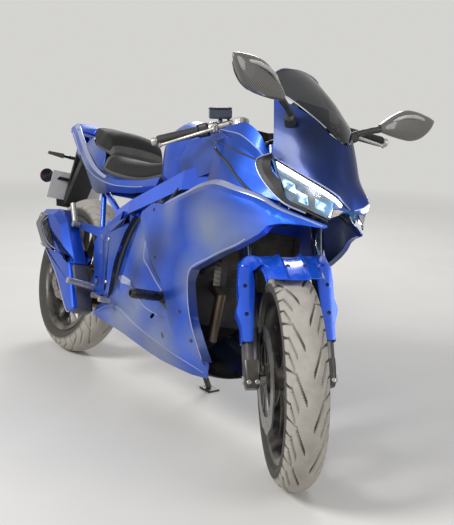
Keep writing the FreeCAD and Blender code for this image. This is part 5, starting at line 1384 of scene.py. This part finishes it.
cover = rounded([(-84, 598), (-124, 539), (-154, 433), (-148, 322), (-178, 310), (-214, 352), (-232, 420),
                 (-262, 486), (-236, 541), (-112, 600)], 7, 6)
foot_covers = build("footrest_covers",
                    *both(lidded(cover, [(-151, 3), (-153, 0), (-161, 0), (-163.5, 5), (-165, 24)])),
                    "chassis", paint, park, (), 24.0)
# Painted shade: a black sheet along each cover's front edge, filling the gap to the lower fairing.
front_shade_sheet = [[(x + 1.5, y, z) for x, z in ((-82, 600), (-122, 538), (-152, 433), (-146, 322))]
             for y in (-162, -146)]
front_shade_sheet.append([(x + 7, -140, z) for x, z in ((-82, 600), (-122, 538), (-152, 433), (-146, 322))])
build("footrest_cover_sides", *both(net_sheet(refine(front_shade_sheet, 7, 40, True), (1, -0.4, 0))), "chassis",
      bobbin_rubber)
hexes = []
for x, z in ((-214, 500), (-172, 360)):
    hexes.append(turned((x, -160, z), (x, -169, z), [(0, 6.5), (0.9, 6.5), (1, 5.4), (1, 3), (0.8, 2.6)],
                        6))
for x, z in ((-286, 500), (-268, 448)):
    hexes.append(turned((x, -150, z), (x, -158, z), [(0, 6.5), (0.9, 6.5), (1, 5.5), (1, 3), (0.8, 2.6)],
                        20))
build("footrest_bolts", *both(joined(hexes)), "chassis", silver.material)
guard = rounded([(-330, 500), (-262, 540), (-226, 470), (-250, 400), (-300, 372), (-338, 430)], 14, 7)
build("heel_guards", *both(lidded(guard, [(-152, 2), (-147, 0), (-143, 1)])), "chassis", tray_black)

# Exhaust: a steel header that has browned with heat, and a faceted can with grey ends, blue side
# plates and a blue lower cover, all screwed.
header = Finish("header_steel", metallic=0.9)
tint = header.noise(9.0, 3.0)
header.set("Base Color", dusty(header, header.mix(tint, (0.075, 0.048, 0.035), (0.27, 0.21, 0.16)), 0.6))
header.set("Roughness", header.noise(90.0, 3.0) * 0.25 + 0.28)
wear(["exhaust_header"], header.material)
can_grey = moulded("can_grey", (0.060, 0.064, 0.080), 0.42, 0.00008, 0.4, 0.6)
can_silver = moulded("can_silver", (0.16, 0.165, 0.18), 0.34, 0.00008, 0.4, 0.8)
can_loop = rounded([(-673, 533), (-545, 551), (-470, 522), (-332, 384), (-487, 384), (-598, 388),
                    (-711, 471)], 10, 9)
cover_loop = rounded([(-487, 384), (-330, 383), (-236, 240), (-262, 222), (-300, 232)], 9, 9)
can_body = build("muffler_can",
                 *lidded(can_loop, [(-148, 24), (-152, 19), (-168, 1), (-172, 0), (-208, 0), (-212, 1),
                                    (-228, 19), (-232, 24)]), "chassis", paint, park, ["muffler"], 30.0)
can = [turned((-686, -182, 499), (-710, -182, 513),
              [(0, 24), (0.1, 27), (0.3, 22), (0.9, 22), (1, 21), (1, 17.5), (0.1, 17)], 40),
       lidded(cover_loop, [(-150, 12), (-160, 1), (-163, 0), (-213, 0), (-216, 1), (-226, 12)])]
muffler = build("muffler_pipe_and_cover", *joined(can), "chassis", can_grey, park, (), 30.0)
upper = rounded([(-664, 520), (-600, 520), (-640, 478), (-560, 420), (-470, 404), (-590, 400),
                 (-692, 470)], 8, 9)
lower_plate = rounded([(-560, 400), (-486, 408), (-340, 386), (-238, 246), (-264, 226), (-300, 236),
                       (-430, 330)], 8, 9)
side_grey = build("muffler_side_frame", *lidded(upper, [(-224, 0), (-231, 0), (-234, 5)]), "chassis",
                  can_silver, park, (), 24.0)
side_plates = build("muffler_lower_cover", *lidded(lower_plate, [(-214, 0), (-229, 0), (-232.5, 6)]),
                    "chassis", paint, park, (), 24.0)
# Painted highlight: pale strips along the side plates' edges.
rim_highlights = [hose([(x, -233.0, z) for x, z in ((-590, 512), (-628, 478), (-556, 426), (-470, 410))], 2.0, 60, 8),
        hose([(x, -231.5, z) for x, z in ((-560, 400), (-430, 330), (-300, 236), (-264, 227))], 2.4, 60, 8)]
plate_highlights = build("muffler_plate_edges", *joined(rim_highlights), "chassis", edge_silver)
screws = []
for x, z in ((-656, 506), (-600, 410)):
    screws.append(turned((x, -226, z), (x, -235, z), [(0, 6), (0.9, 6), (1, 4.8), (1, 2.6), (0.8, 2.4)],
                         16))
for x, z in ((-452, 378), (-276, 240)):
    screws.append(turned((x, -220, z), (x, -231, z),
                         [(0, 5.5), (0.9, 5.5), (1, 4.4), (1, 2.4), (0.8, 2.2)], 16))
build("muffler_screws", *joined(screws), "chassis", silver.material)

# Front cowl: a crowned moulding over the lamps in satin blue, darkened by painted shade, and a
# folded wing on each side that meets the tank covers.
right_cowl = np.array([
    [(538, -132, 860), (640, -98, 828), (738, -60, 795), (746, 0, 763)],
    [(526, -132, 905), (620, -97, 870), (700, -50, 838), (724, 0, 815)],
    [(505, -129, 955), (600, -92, 925), (672, -45, 890), (697, 0, 871)],
    [(470, -122, 1026), (580, -74, 988), (640, -40, 948), (668, 0, 928)]], float)
cowl_net = np.concatenate([right_cowl, right_cowl[:, 2::-1] * (1, -1, 1)], 1)
# Painted shade: the cowl's paint is a darker copy of the satin blue, with near-black patches on its front
# and top.
cowl_blue = sprayed("cowl_blue", 0.38, 0.58, 0.12, 0.08, (0.002, 0.024, 0.22), (0.004, 0.058, 0.46), 0.06,
                    (), ((600, 925, 0.22, 0.95), (500, 960, 0.13, 0.7), (720, 850, 0.12, 0.6)))
cowl_fine = refine(cowl_net, 61, 91)
cowl = build("front_cowl_shell", *net_sheet(cowl_fine, (1, 0, 0.6)), "chassis", cowl_blue, park,
             ["nose_cowl"], 30.0, 4.0, outward=False)
wing_rows = [
    [(318, -166, 914), (366, -168, 926), (430, -164, 938), (490, -153, 912), (528, -140, 866)],
    [(318, -168, 911), (366, -172, 908), (430, -172, 902), (494, -161, 876), (544, -139, 843)],
    [(319, -166, 907), (366, -168, 892), (430, -168, 874), (496, -158, 848), (564, -137, 820)]]
wing_fine = refine(wing_rows, 31, 51, True)
cowl_wings = build("cowl_side_wings", *both(net_sheet(wing_fine, -LEFT)), "chassis", paint,
                   park, ["cowl_wings"], 20.0, 4.0, outward=False)

panel_rows = [[(300, -160, 880), (366, -166, 892), (430, -165, 874), (496, -155, 848), (562, -136, 822),
               (592, -131, 800)],
              [(300, -163, 830), (366, -174, 838), (430, -174, 828), (496, -162, 808), (570, -144, 786),
               (606, -132, 775)],
              [(300, -162, 735), (366, -176, 752), (430, -184, 765), (496, -178, 758), (563, -158, 752),
               (626, -124, 746)]]
panel_fine = refine(panel_rows, 31, 61, True)
cowl_panels = build("cowl_side_panels", *both(net_sheet(panel_fine, -LEFT)), "chassis", paint, park, (),
                    20.0, 3.0, outward=False)


def on_net(net, line):
    """Points of a net nearest in side view to the points of a line."""
    flat = net.reshape(-1, 3)
    line = np.asarray(line, float)
    far = ((flat[None, :, [0, 2]] - line[:, None]) ** 2).sum(2)
    return flat[far.argmin(1)]


seams = [hose(on_net(panel_fine,
                     [(302, 858), (350, 839), (402, 817), (452, 792), (500, 768), (528, 754)]), 4.4, 60,
              8), hose(on_net(panel_fine, [(302, 878), (345, 872), (430, 857), (507, 841), (560, 826)]),
                       2.6, 60, 8)]
build("cowl_panel_seams", *both(joined(seams)), "chassis", pod_black)
# Painted highlights: pale strips along the wings' fold and the cowl's lower brow.
crest_highlights = [hose(wing_fine[15, ::6] - LEFT * 0.8, 1.8, 60, 8),
          hose(cowl_fine[0, 1:44:6] + np.array([1.2, 0, 0]), 1.8, 60, 8)]
cowl_highlights = build("cowl_edge_lights", *both(joined(crest_highlights)), "chassis", edge_silver)

# Stay: bent black tubes from the head tube that carry the cowl, dash and mirrors, and short lugs
# that hold each fairing panel to the frame, the engine and the radiator.
bow = np.array([519.3, 0.0, 878.0])
bow_end = np.array([524.0, -98.0, 900.0])
stay_shapes = [slab((413.0, 0, 827.0), (526.0, 0, 878.0), UP, [(0, 44, 36), (1, 40, 34)], 0.4, 20),
               hose([bow, (522, -60, 884), bow_end, (536, -99, 934), (548, -100, 966)], 9, 40, 14),
               hose([bow, (522, 60, 884), (524, 98, 900), (536, 99, 934), (548, 100, 966)], 9, 40, 14),
               pin(bow, (498, 0, 966), 9, 16), pin(bow, (572, 0, 838), 9, 16)]
lugs = []
for x, root_y, root_z, z in ((300, 112, 765, 714), (130, 145, 722, 646), (235, 100, 500, 500),
                             (244, 100, 388, 388), (404, 134, 575, 575)):
    lugs.append(pin((x, -root_y, root_z), (x, -width_at(fairing_out, x, z) + 6, z), 6, 12))
for x, z in ((-60, 340), (60, 300), (60, 560), (200, 290)):
    lugs.append(pin((x, -100, z), (x, -width_at(lower_out, x, z) + 6, z), 7, 12))
for root, tip in (((560, -80, 780), (612, -130, 724)), ((470, -150, 790), (470, -176, 762)),
                  ((600, -60, 790), (620, -100, 790)), ((600, -40, 830), (636, -76, 860)),
                  ((505, -110, 905), (500, -150, 880)), ((396, -80, 600), (200, -80, 600)),
                  ((100, -60, 266), (100, -60, 202))):
    lugs.append(pin(root, tip, 6, 12))
stay = build("fairing_stay_tubes", *joined(stay_shapes + [both(joined(lugs))]), "chassis", black_paint,
             park, ["fairing_stay"])

# Headlamps: a clear polycarbonate lens over a dark bowl, a white light bar under the brow with a
# prong at its front end, and a blue-lit reflector; a black bezel runs round it.
LENS_ROWS = 33
LENS_COLUMNS = 61
lens_net = refine([
    [(549, -128, 850), (640, -95, 820), (732, -60, 788), (740, -16, 760)],
    [(592, -128, 800), (662, -99, 780), (735, -60, 757), (739, -36, 746)],
    [(635, -125, 754), (686, -97, 742), (734, -63, 729), (735, -58, 731)]], LENS_ROWS, LENS_COLUMNS, True)
BACK = np.array([-0.9, 0.3, 0.1])


def lens_strip(v_low, v_high, u_low, u_high, back, thick):
    """A patch of the lens between shares of its height and length, set back behind it, with its
    four edges turned to the rear."""
    v = np.linspace(v_low, v_high, 9) * (LENS_ROWS - 1)
    u = np.linspace(u_low, u_high, 40) * (LENS_COLUMNS - 1)
    i = np.minimum(v.astype(int), LENS_ROWS - 2)
    rows = lens_net[i] * (1 - v + i)[:, None, None] + lens_net[i + 1] * (v - i)[:, None, None]
    patch = smooth(np.arange(LENS_COLUMNS), np.moveaxis(rows, 1, 2), u)
    patch = np.moveaxis(patch, 2, 1) + BACK * back
    framed = np.pad(patch, ((1, 1), (1, 1), (0, 0)), mode="edge")
    framed[0] += BACK * thick
    framed[-1] += BACK * thick
    framed[1:-1, 0] += BACK * thick
    framed[1:-1, -1] += BACK * thick
    return net_sheet(framed, -BACK)


bowl = Finish("lamp_bowl", metallic=0.7, roughness=0.22, emission_strength=1.0)
level = bowl.add("ShaderNodeTexVoronoi", {}, {"Vector": bowl.spot, "Scale": 34.0}, "Distance")
glow = bowl.noise(13.0, 2.0).clip(0.50, 0.70)
bowl.set("Base Color", bowl.mix(bowl.noise(40.0, 2.0), (0.012, 0.014, 0.02), (0.06, 0.07, 0.09)))
bowl.set("Emission Color", bowl.mix(glow * (1.0 - level * 0.7), (0.0, 0.004, 0.012), (0.10, 0.42, 0.85)))
light_bar = Finish("light_bar", roughness=0.3, emission_strength=3.0)
along_bar = light_bar.noise(60.0, 1.0)
light_bar.set("Base Color", light_bar.mix(along_bar, (0.75, 0.85, 0.9), (0.9, 0.95, 1.0)))
light_bar.set("Emission Color", light_bar.mix(along_bar, (0.80, 0.95, 1.0), (0.92, 1.0, 1.0)))
reflector = Finish("lit_reflector", metallic=0.6, roughness=0.2, emission_strength=1.3)
mirror_patch = reflector.noise(46.0, 3.0).clip(0.42, 0.62)
reflector.set("Base Color", reflector.mix(mirror_patch, (0.05, 0.12, 0.2), (0.6, 0.7, 0.8)))
reflector.set("Emission Color", reflector.mix(mirror_patch, (0.0, 0.035, 0.14), (0.35, 0.80, 1.0)))
bowls = build("headlamp_bowls", *both(lens_strip(0.0, 1.0, 0.0, 0.97, 26, 4)), "chassis", bowl.material,
              park, ["headlamps"], 30.0, outward=False)
bars_lit = build("headlamp_light_bars", *both(joined([lens_strip(0.0, 0.17, 0.02, 0.86, -8, 16),
                                                      lens_strip(0.15, 0.90, 0.735, 0.80, 4, 10)])),
                 "chassis", light_bar.material, park, (), 30.0, outward=False)
pods_lit = build("headlamp_reflectors", *both(joined([lens_strip(0.36, 0.66, 0.06, 0.24, 16, 10),
                                                      lens_strip(0.52, 0.88, 0.24, 0.40, 18, 10),
                                                      lens_strip(0.46, 0.80, 0.50, 0.62, 18, 10)])),
                 "chassis", reflector.material, park, (), 30.0, outward=False)
clear = Finish("clear_lens", roughness=0.04, alpha=0.12, coat_weight=0.6)
clear.set("Base Color", clear.mix(clear.noise(8.0, 2.0), (0.75, 0.85, 0.95), (0.95, 0.98, 1.0)))
lenses = build("headlamp_lenses", *both(net_sheet(lens_net, -BACK)), "chassis", clear.material, park, (),
               30.0, outward=False)
wear(["lamp_housing", "instrument_pod"], tray_black)
bezel_line = [(543, -131, 858), (586, -130, 804), (630, -128, 750), (686, -100, 737), (736, -62, 722)]
build("lamp_bezels", *both(hose(bezel_line, 2.4, 60, 10)), "chassis", pod_black)
surround = [[(566, -158, 867), (514, -163, 843), (534, -162, 809), (580, -154, 775), (638, -140, 745),
             (692, -103, 731)],
            [(560, -151, 863), (530, -158, 845), (546, -157, 815), (590, -147, 781), (638, -135, 750),
             (690, -101, 736)],
            [(553, -138, 859), (548, -142, 846), (560, -140, 822), (598, -134, 796), (636, -127, 757),
             (686, -98, 744)]]
build("lamp_surrounds", *both(net_sheet(refine(surround, 13, 60, True), (0.5, -1, 0))), "chassis",
      tray_black, park, (), 25.0, 2.5, outward=False)
# Painted highlight: a pale strip along the surrounds' outer edge.
surround_highlights = build("lamp_surround_edges",
                      *both(hose([np.array(spot) - LEFT * 0.6 for spot in surround[0]], 2.0, 70, 8)),
                      "chassis", edge_silver)
triangle = [[(738, -59, 790), (742, -34, 776), (745.5, -4, 761)],
            [(738, -58.5, 762), (741, -36, 760), (745, -8, 759)],
            [(737.5, -58, 732), (740, -38, 744), (744.5, -12, 757)]]
beak = build("beak_plates", *both(net_sheet(refine(triangle, 12, 20, True), (1, 0, 0))), "chassis", paint,
             park, (), 30.0, outward=False)
chip = [[(740.6, -56, 754), (743.0, -42, 757), (745.2, -27, 757)],
        [(740.2, -57, 744), (742.6, -46, 748), (744.6, -33, 752)],
        [(739.8, -57, 734), (741.8, -50, 738), (744.0, -38, 744)]]
build("beak_chrome_chips", *both(net_sheet(refine(chip, 8, 12, True), (1, 0, 0))), "chassis",
      silver.material)

# Windscreen: a smoked acrylic sheet, pressed to a double curve and fixed to the cowl, with a
# polished edge coloured pale as a painted highlight.
screen_rows = np.array([(664, 934, 16, 2, 1), (612, 990, 62, 14, 10), (545, 1046, 92, 32, 24),
                        (480, 1088, 108, 44, 40), (432, 1114, 100, 30, 34), (409, 1124, 70, 8, 10)],
                       float)
screen_fine = smooth(np.arange(6), screen_rows.T, np.linspace(0, 5, 51))
s = np.linspace(-1, 1, 61)[None]
x0, z0, half, drop_x, drop_z = screen_fine[:, :, None]
sheet = np.dstack([x0 - drop_x * s ** 2, half * s, z0 - drop_z * s ** 2])
smoke = Finish("smoked_screen", roughness=0.06, alpha=0.80)
smoke.set("Base Color", smoke.mix(smoke.noise(5.0, 2.0), (0.003, 0.004, 0.007), (0.010, 0.012, 0.020)))
screen = build("smoked_windscreen", *net_sheet(sheet, (1, 0, 0.6)), "chassis", smoke.material, park,
               ["windscreen"], 35.0, 3.0, outward=False)
# Painted highlight: the edge strip is pale grey where light catches the polished edge.
screen_edge_highlight = Finish("polished_edge", roughness=0.08, coat_weight=1.0)
screen_edge_highlight.set("Base Color",
               screen_edge_highlight.mix(screen_edge_highlight.noise(30.0, 2.0), (0.25, 0.28, 0.34), (0.6, 0.64, 0.72)))
rim = np.concatenate([sheet[6:, 0], sheet[-1, 4:-4:4], sheet[:5:-1, -1]])
screen_highlight = build("screen_edge", *hose(rim[::3], 1.7, 240, 8), "chassis", screen_edge_highlight.material)

# Mirrors: carbon-look leaf shells on black stems, each with a pale lamp strip along its front and
# a flat glass that faces the rider.
carbon = Finish("carbon_shell", coat_weight=0.8)
band = carbon.add("ShaderNodeTexWave", {"wave_type": "BANDS", "bands_direction": "DIAGONAL"},
                  {"Vector": carbon.spot, "Scale": 88.0, "Distortion": 0.8, "Detail": 1.0})
thread = carbon.add("ShaderNodeTexWave", {"wave_type": "BANDS", "bands_direction": "Z"},
                    {"Vector": carbon.spot, "Scale": 160.0, "Distortion": 0.3})
twill = band * 0.75 + thread * 0.25
carbon.set("Base Color", carbon.mix(twill, (0.012, 0.012, 0.013), (0.16, 0.15, 0.135)))
carbon.set("Roughness", 0.42 - twill * 0.14)
carbon.bump(twill, 0.0002)
MIRROR_Y = 180.0
MIRROR_LONG = 194.0
LEAF_LOW = 1010.0
LEAF_RISE = 36.0
mirror_root = np.array([588.0, -MIRROR_Y, LEAF_LOW])
mirror_tip = np.array([604.0, -367.0, LEAF_LOW + LEAF_RISE])
leaf_at = [0, 0.2, 0.4, 0.6, 0.8, 0.93, 1]
leaf_high = [22, 58, 82, 86, 66, 36, 10]
leaf_middle = [1010, 1024, 1036, 1043, 1054, 1067, 1076]


def leaf_line(points):
    """Height of the leaf's middle line over each point, and its rise over the straight bar."""
    reach = np.clip((-points[:, 1] - MIRROR_Y) / MIRROR_LONG, 0, 1)
    high = smooth(leaf_at, np.array([leaf_middle], float), reach)[0]
    return high, high - (LEAF_LOW + LEAF_RISE * reach)


s = np.linspace(0, 1, 30)
sizes = np.stack([s, np.interp(s, [0, 0.06, 0.2, 0.66, 0.84, 0.94, 1], [20, 30, 35, 34, 28, 20, 6]),
                  smooth(leaf_at, np.array([leaf_high], float), s)[0]], 1)
shell_points, shell_faces = slab(mirror_root, mirror_tip, UP, sizes, 0.78, 44)
high, rise = leaf_line(shell_points)
shell_points[:, 2] += rise
shell_points[:, 0] -= 0.10 * (shell_points[:, 2] - high)
mirrors = build("mirror_shells", *both((shell_points, shell_faces)), "chassis", carbon.material, park,
                ["mirrors"], 50.0)
stems = [hose([(548, -92, 958), (562, -122, 978), (574, -152, 994), (592, -200, 1014)], 9, 40, 18,
              [(0, 1.5), (0.2, 1.1), (0.6, 0.95), (0.85, 1.1), (1, 0.8)]),
         slab((540, -90, 950), (564, -128, 974), UP,
              [(0, 20, 26), (0.1, 34, 40), (0.9, 26, 28), (1, 14, 18)], 0.6, 28)]
build("mirror_stems", *both(joined(stems)), "chassis", pod_black)
pale_strip = Finish("pale_strip", roughness=0.25, coat_weight=0.7)
pale_strip.set("Base Color",
               pale_strip.mix(pale_strip.noise(60.0, 2.0), (0.30, 0.29, 0.27), (0.50, 0.49, 0.46)))
strip_line = hose([(603, -209, 1038), (610, -238, 1056), (612, -267, 1065), (611, -300, 1069),
                   (608, -330, 1066)], 5.2, 40, 14,
                  [(0, 0.3), (0.15, 0.9), (0.6, 1.1), (0.9, 0.9), (1, 0.3)])
build("mirror_lamp_strips", *both(strip_line), "chassis", pale_strip.material)
mirror_glass = Finish("mirror_glass", metallic=1.0, roughness=0.03)
mirror_glass.set("Base Color",
                 mirror_glass.mix(mirror_glass.noise(9.0, 2.0), (0.62, 0.64, 0.66), (0.74, 0.75, 0.77)))
glass_sizes = np.stack([s, np.full(30, 2.4),
                        np.interp(s, [0, 0.1, 0.9, 1], [0.6, 0.84, 0.84, 0.6]) * sizes[:, 2]], 1)
glass_points, glass_faces = slab((571, -192, 1012), (586, -358, 1044), UP, glass_sizes[2:-1], 0.78, 32)
glass_points[:, 2] += leaf_line(glass_points)[1] - 2
glasses = build("mirror_glasses", *both((glass_points, glass_faces)), "chassis", mirror_glass.material,
                park, ["mirror_glass"])

# Dash: a moulded pod on the cowl's stay, tilted to the rider, with a dark glass display
# on its face.
display = Finish("dash_display", roughness=0.12, coat_weight=1.0)
display.set("Base Color",
            display.mix(display.noise(20.0, 2.0), (0.006, 0.007, 0.009), (0.02, 0.022, 0.027)))
face = np.array([477.5, 0.0, 991.5])
build("dash_display", *slab(face - LEFT * 50, face + LEFT * 50, (-0.5, 0, 1), [
    (0, 4, 46), (0.03, 5, 54), (0.97, 5, 54), (1, 4, 46)], 0.25, 24), "chassis", display.material)

# Rear lamps and number plate: a red lens under the bridge, amber indicators on rubber stalks, a
# red reflector, and a blank plate on a moulded hanger.


def lens(name, deep, pale, cells):
    """Moulded lens: a clear colour over a prism pattern of cells a metre, and a black back, which
    is where the surface looks forward."""
    finish = Finish(name, roughness=0.14, coat_weight=0.9)
    prism = finish.add("ShaderNodeTexVoronoi", {}, {"Vector": finish.spot, "Scale": cells}, "Distance")
    looks = finish.add("ShaderNodeNewGeometry", {}, {}, "Normal")
    front = finish.add("ShaderNodeSeparateXYZ", {}, {"Vector": looks}, "X").clip(0.05, 0.15)
    finish.set("Base Color", finish.mix(front, finish.mix(prism, deep, pale), (0.016, 0.016, 0.017)))
    finish.bump(prism, 0.0006, 0.5)
    return finish.material


wear(["tail_lamp", "rear_reflector"], lens("red_lens", (0.16, 0.002, 0.002), (0.55, 0.012, 0.008), 220.0))
wear(["rear_indicators"], lens("amber_lens", (0.40, 0.09, 0.002), (0.85, 0.26, 0.01), 180.0))
wear(["plate_hanger"], tray_black)
plate_paint = Finish("blank_plate", roughness=0.35, coat_weight=0.4)
plate_paint.set("Base Color",
                dusty(plate_paint, plate_paint.mix(plate_paint.noise(25.0, 3.0), (0.62, 0.63, 0.62),
                                                   (0.74, 0.745, 0.735)), 0.4, 0.8))
plate_paint.bump(plate_paint.noise(300.0, 2.0), 0.00008)
wear(["number_plate"], plate_paint.material)


# Stage: a plain pale floor that fades into a pale background, and soft studio lamps.
FLOOR = 9.0
FADE_FROM = 2.2
FADE_TO = 6.5
floor_mesh = bpy.data.meshes.new("floor")
floor_mesh.from_pydata([(-FLOOR, -FLOOR, 0), (FLOOR, -FLOOR, 0), (FLOOR, FLOOR, 0), (-FLOOR, FLOOR, 0)],
                       [], [(0, 1, 2, 3)])
floor = bpy.data.objects.new("floor", floor_mesh)
bpy.context.scene.collection.objects.link(floor)
floor_finish = Finish("pale_floor", roughness=0.85)
floor_finish.set("Base Color", floor_finish.mix(floor_finish.noise(3.0, 4.0), (0.60, 0.585, 0.555),
                                                (0.66, 0.645, 0.615)))
away = floor_finish.add("ShaderNodeVectorMath", {"operation": "LENGTH"}, {0: floor_finish.spot}, "Value")
floor_finish.set("Alpha", 1.0 - away.clip(FADE_FROM, FADE_TO))
floor_mesh.materials.append(floor_finish.material)
world = bpy.data.worlds.new("studio")
bpy.context.scene.world = world
world.use_nodes = True
sky = world.node_tree.nodes
plain = sky["Background"]
plain.inputs["Color"].default_value = (0.80, 0.82, 0.86, 1)
plain.inputs["Strength"].default_value = 0.55
backdrop = sky.new("ShaderNodeBackground")
backdrop.inputs["Color"].default_value = (0.66, 0.655, 0.635, 1)
backdrop.inputs["Strength"].default_value = 1.0
ray = sky.new("ShaderNodeLightPath")
join = world.node_tree.links.new
seen = ray.outputs["Is Camera Ray"]
for kind in ("Is Glossy Ray", "Is Transmission Ray"):
    either = sky.new("ShaderNodeMath")
    either.operation = "MAXIMUM"
    join(seen, either.inputs[0])
    join(ray.outputs[kind], either.inputs[1])
    seen = either.outputs[0]
blend = sky.new("ShaderNodeMixShader")
join(seen, blend.inputs[0])
join(plain.outputs[0], blend.inputs[1])
join(backdrop.outputs[0], blend.inputs[2])
join(blend.outputs[0], sky["World Output"].inputs["Surface"])


def lamp(name, place, target, power, size):
    """A round soft lamp at a place, turned towards a target."""
    light = bpy.data.lights.new(name, "AREA")
    light.energy = power
    light.shape = "DISK"
    light.size = size
    item = bpy.data.objects.new(name, light)
    away = np.array(place, float) - np.array(target, float)
    away /= np.linalg.norm(away)
    side = np.cross(UP, away)
    side /= np.linalg.norm(side)
    matrix = np.eye(4)
    matrix[:3, :3] = np.stack([side, np.cross(away, side), away], 1)
    matrix[:3, 3] = place
    item.matrix_world = Matrix(matrix.tolist())
    bpy.context.scene.collection.objects.link(item)


lamp("key", (0.2, -3.9, 3.3), (0.1, -0.1, 0.6), 185, 1.6)
lamp("fill", (4.2, 1.2, 2.2), (0.4, 0, 0.6), 60, 2.4)
lamp("back", (-3.2, 2.4, 3.0), (-0.2, 0, 0.7), 90, 2.0)

# Camera: the photograph's viewing place and angle, found from the tyres, lamps and bars.
CAMERA_PLACE = np.array([2.430, -1.546, 1.0715])
CAMERA_YAW = math.radians(145.92)
CAMERA_DOWN = math.radians(11.92)
CAMERA_ROLL = math.radians(1.89)
CAMERA_FOCUS = 869.2
IMAGE_WIDTH = 454
SENSOR_WIDTH = 36.0
forward = np.array([math.cos(CAMERA_DOWN) * math.cos(CAMERA_YAW),
                    math.cos(CAMERA_DOWN) * math.sin(CAMERA_YAW), -math.sin(CAMERA_DOWN)])
right = np.cross(forward, UP)
right /= np.linalg.norm(right)
above = np.cross(right, forward)
tilt_right = math.cos(CAMERA_ROLL) * right + math.sin(CAMERA_ROLL) * above
tilt_up = -math.sin(CAMERA_ROLL) * right + math.cos(CAMERA_ROLL) * above
view = np.eye(4)
view[:3, :3] = np.stack([tilt_right, tilt_up, -forward], 1)
view[:3, 3] = CAMERA_PLACE
camera_data = bpy.data.cameras.new("camera")
camera_data.sensor_fit = "HORIZONTAL"
camera_data.sensor_width = SENSOR_WIDTH
camera_data.lens = SENSOR_WIDTH * CAMERA_FOCUS / IMAGE_WIDTH
camera = bpy.data.objects.new("camera", camera_data)
camera.matrix_world = Matrix(view.tolist())
bpy.context.scene.collection.objects.link(camera)
bpy.context.scene.camera = camera
bpy.context.scene.view_settings.view_transform = "Standard"

bpy.context.view_layer.update()
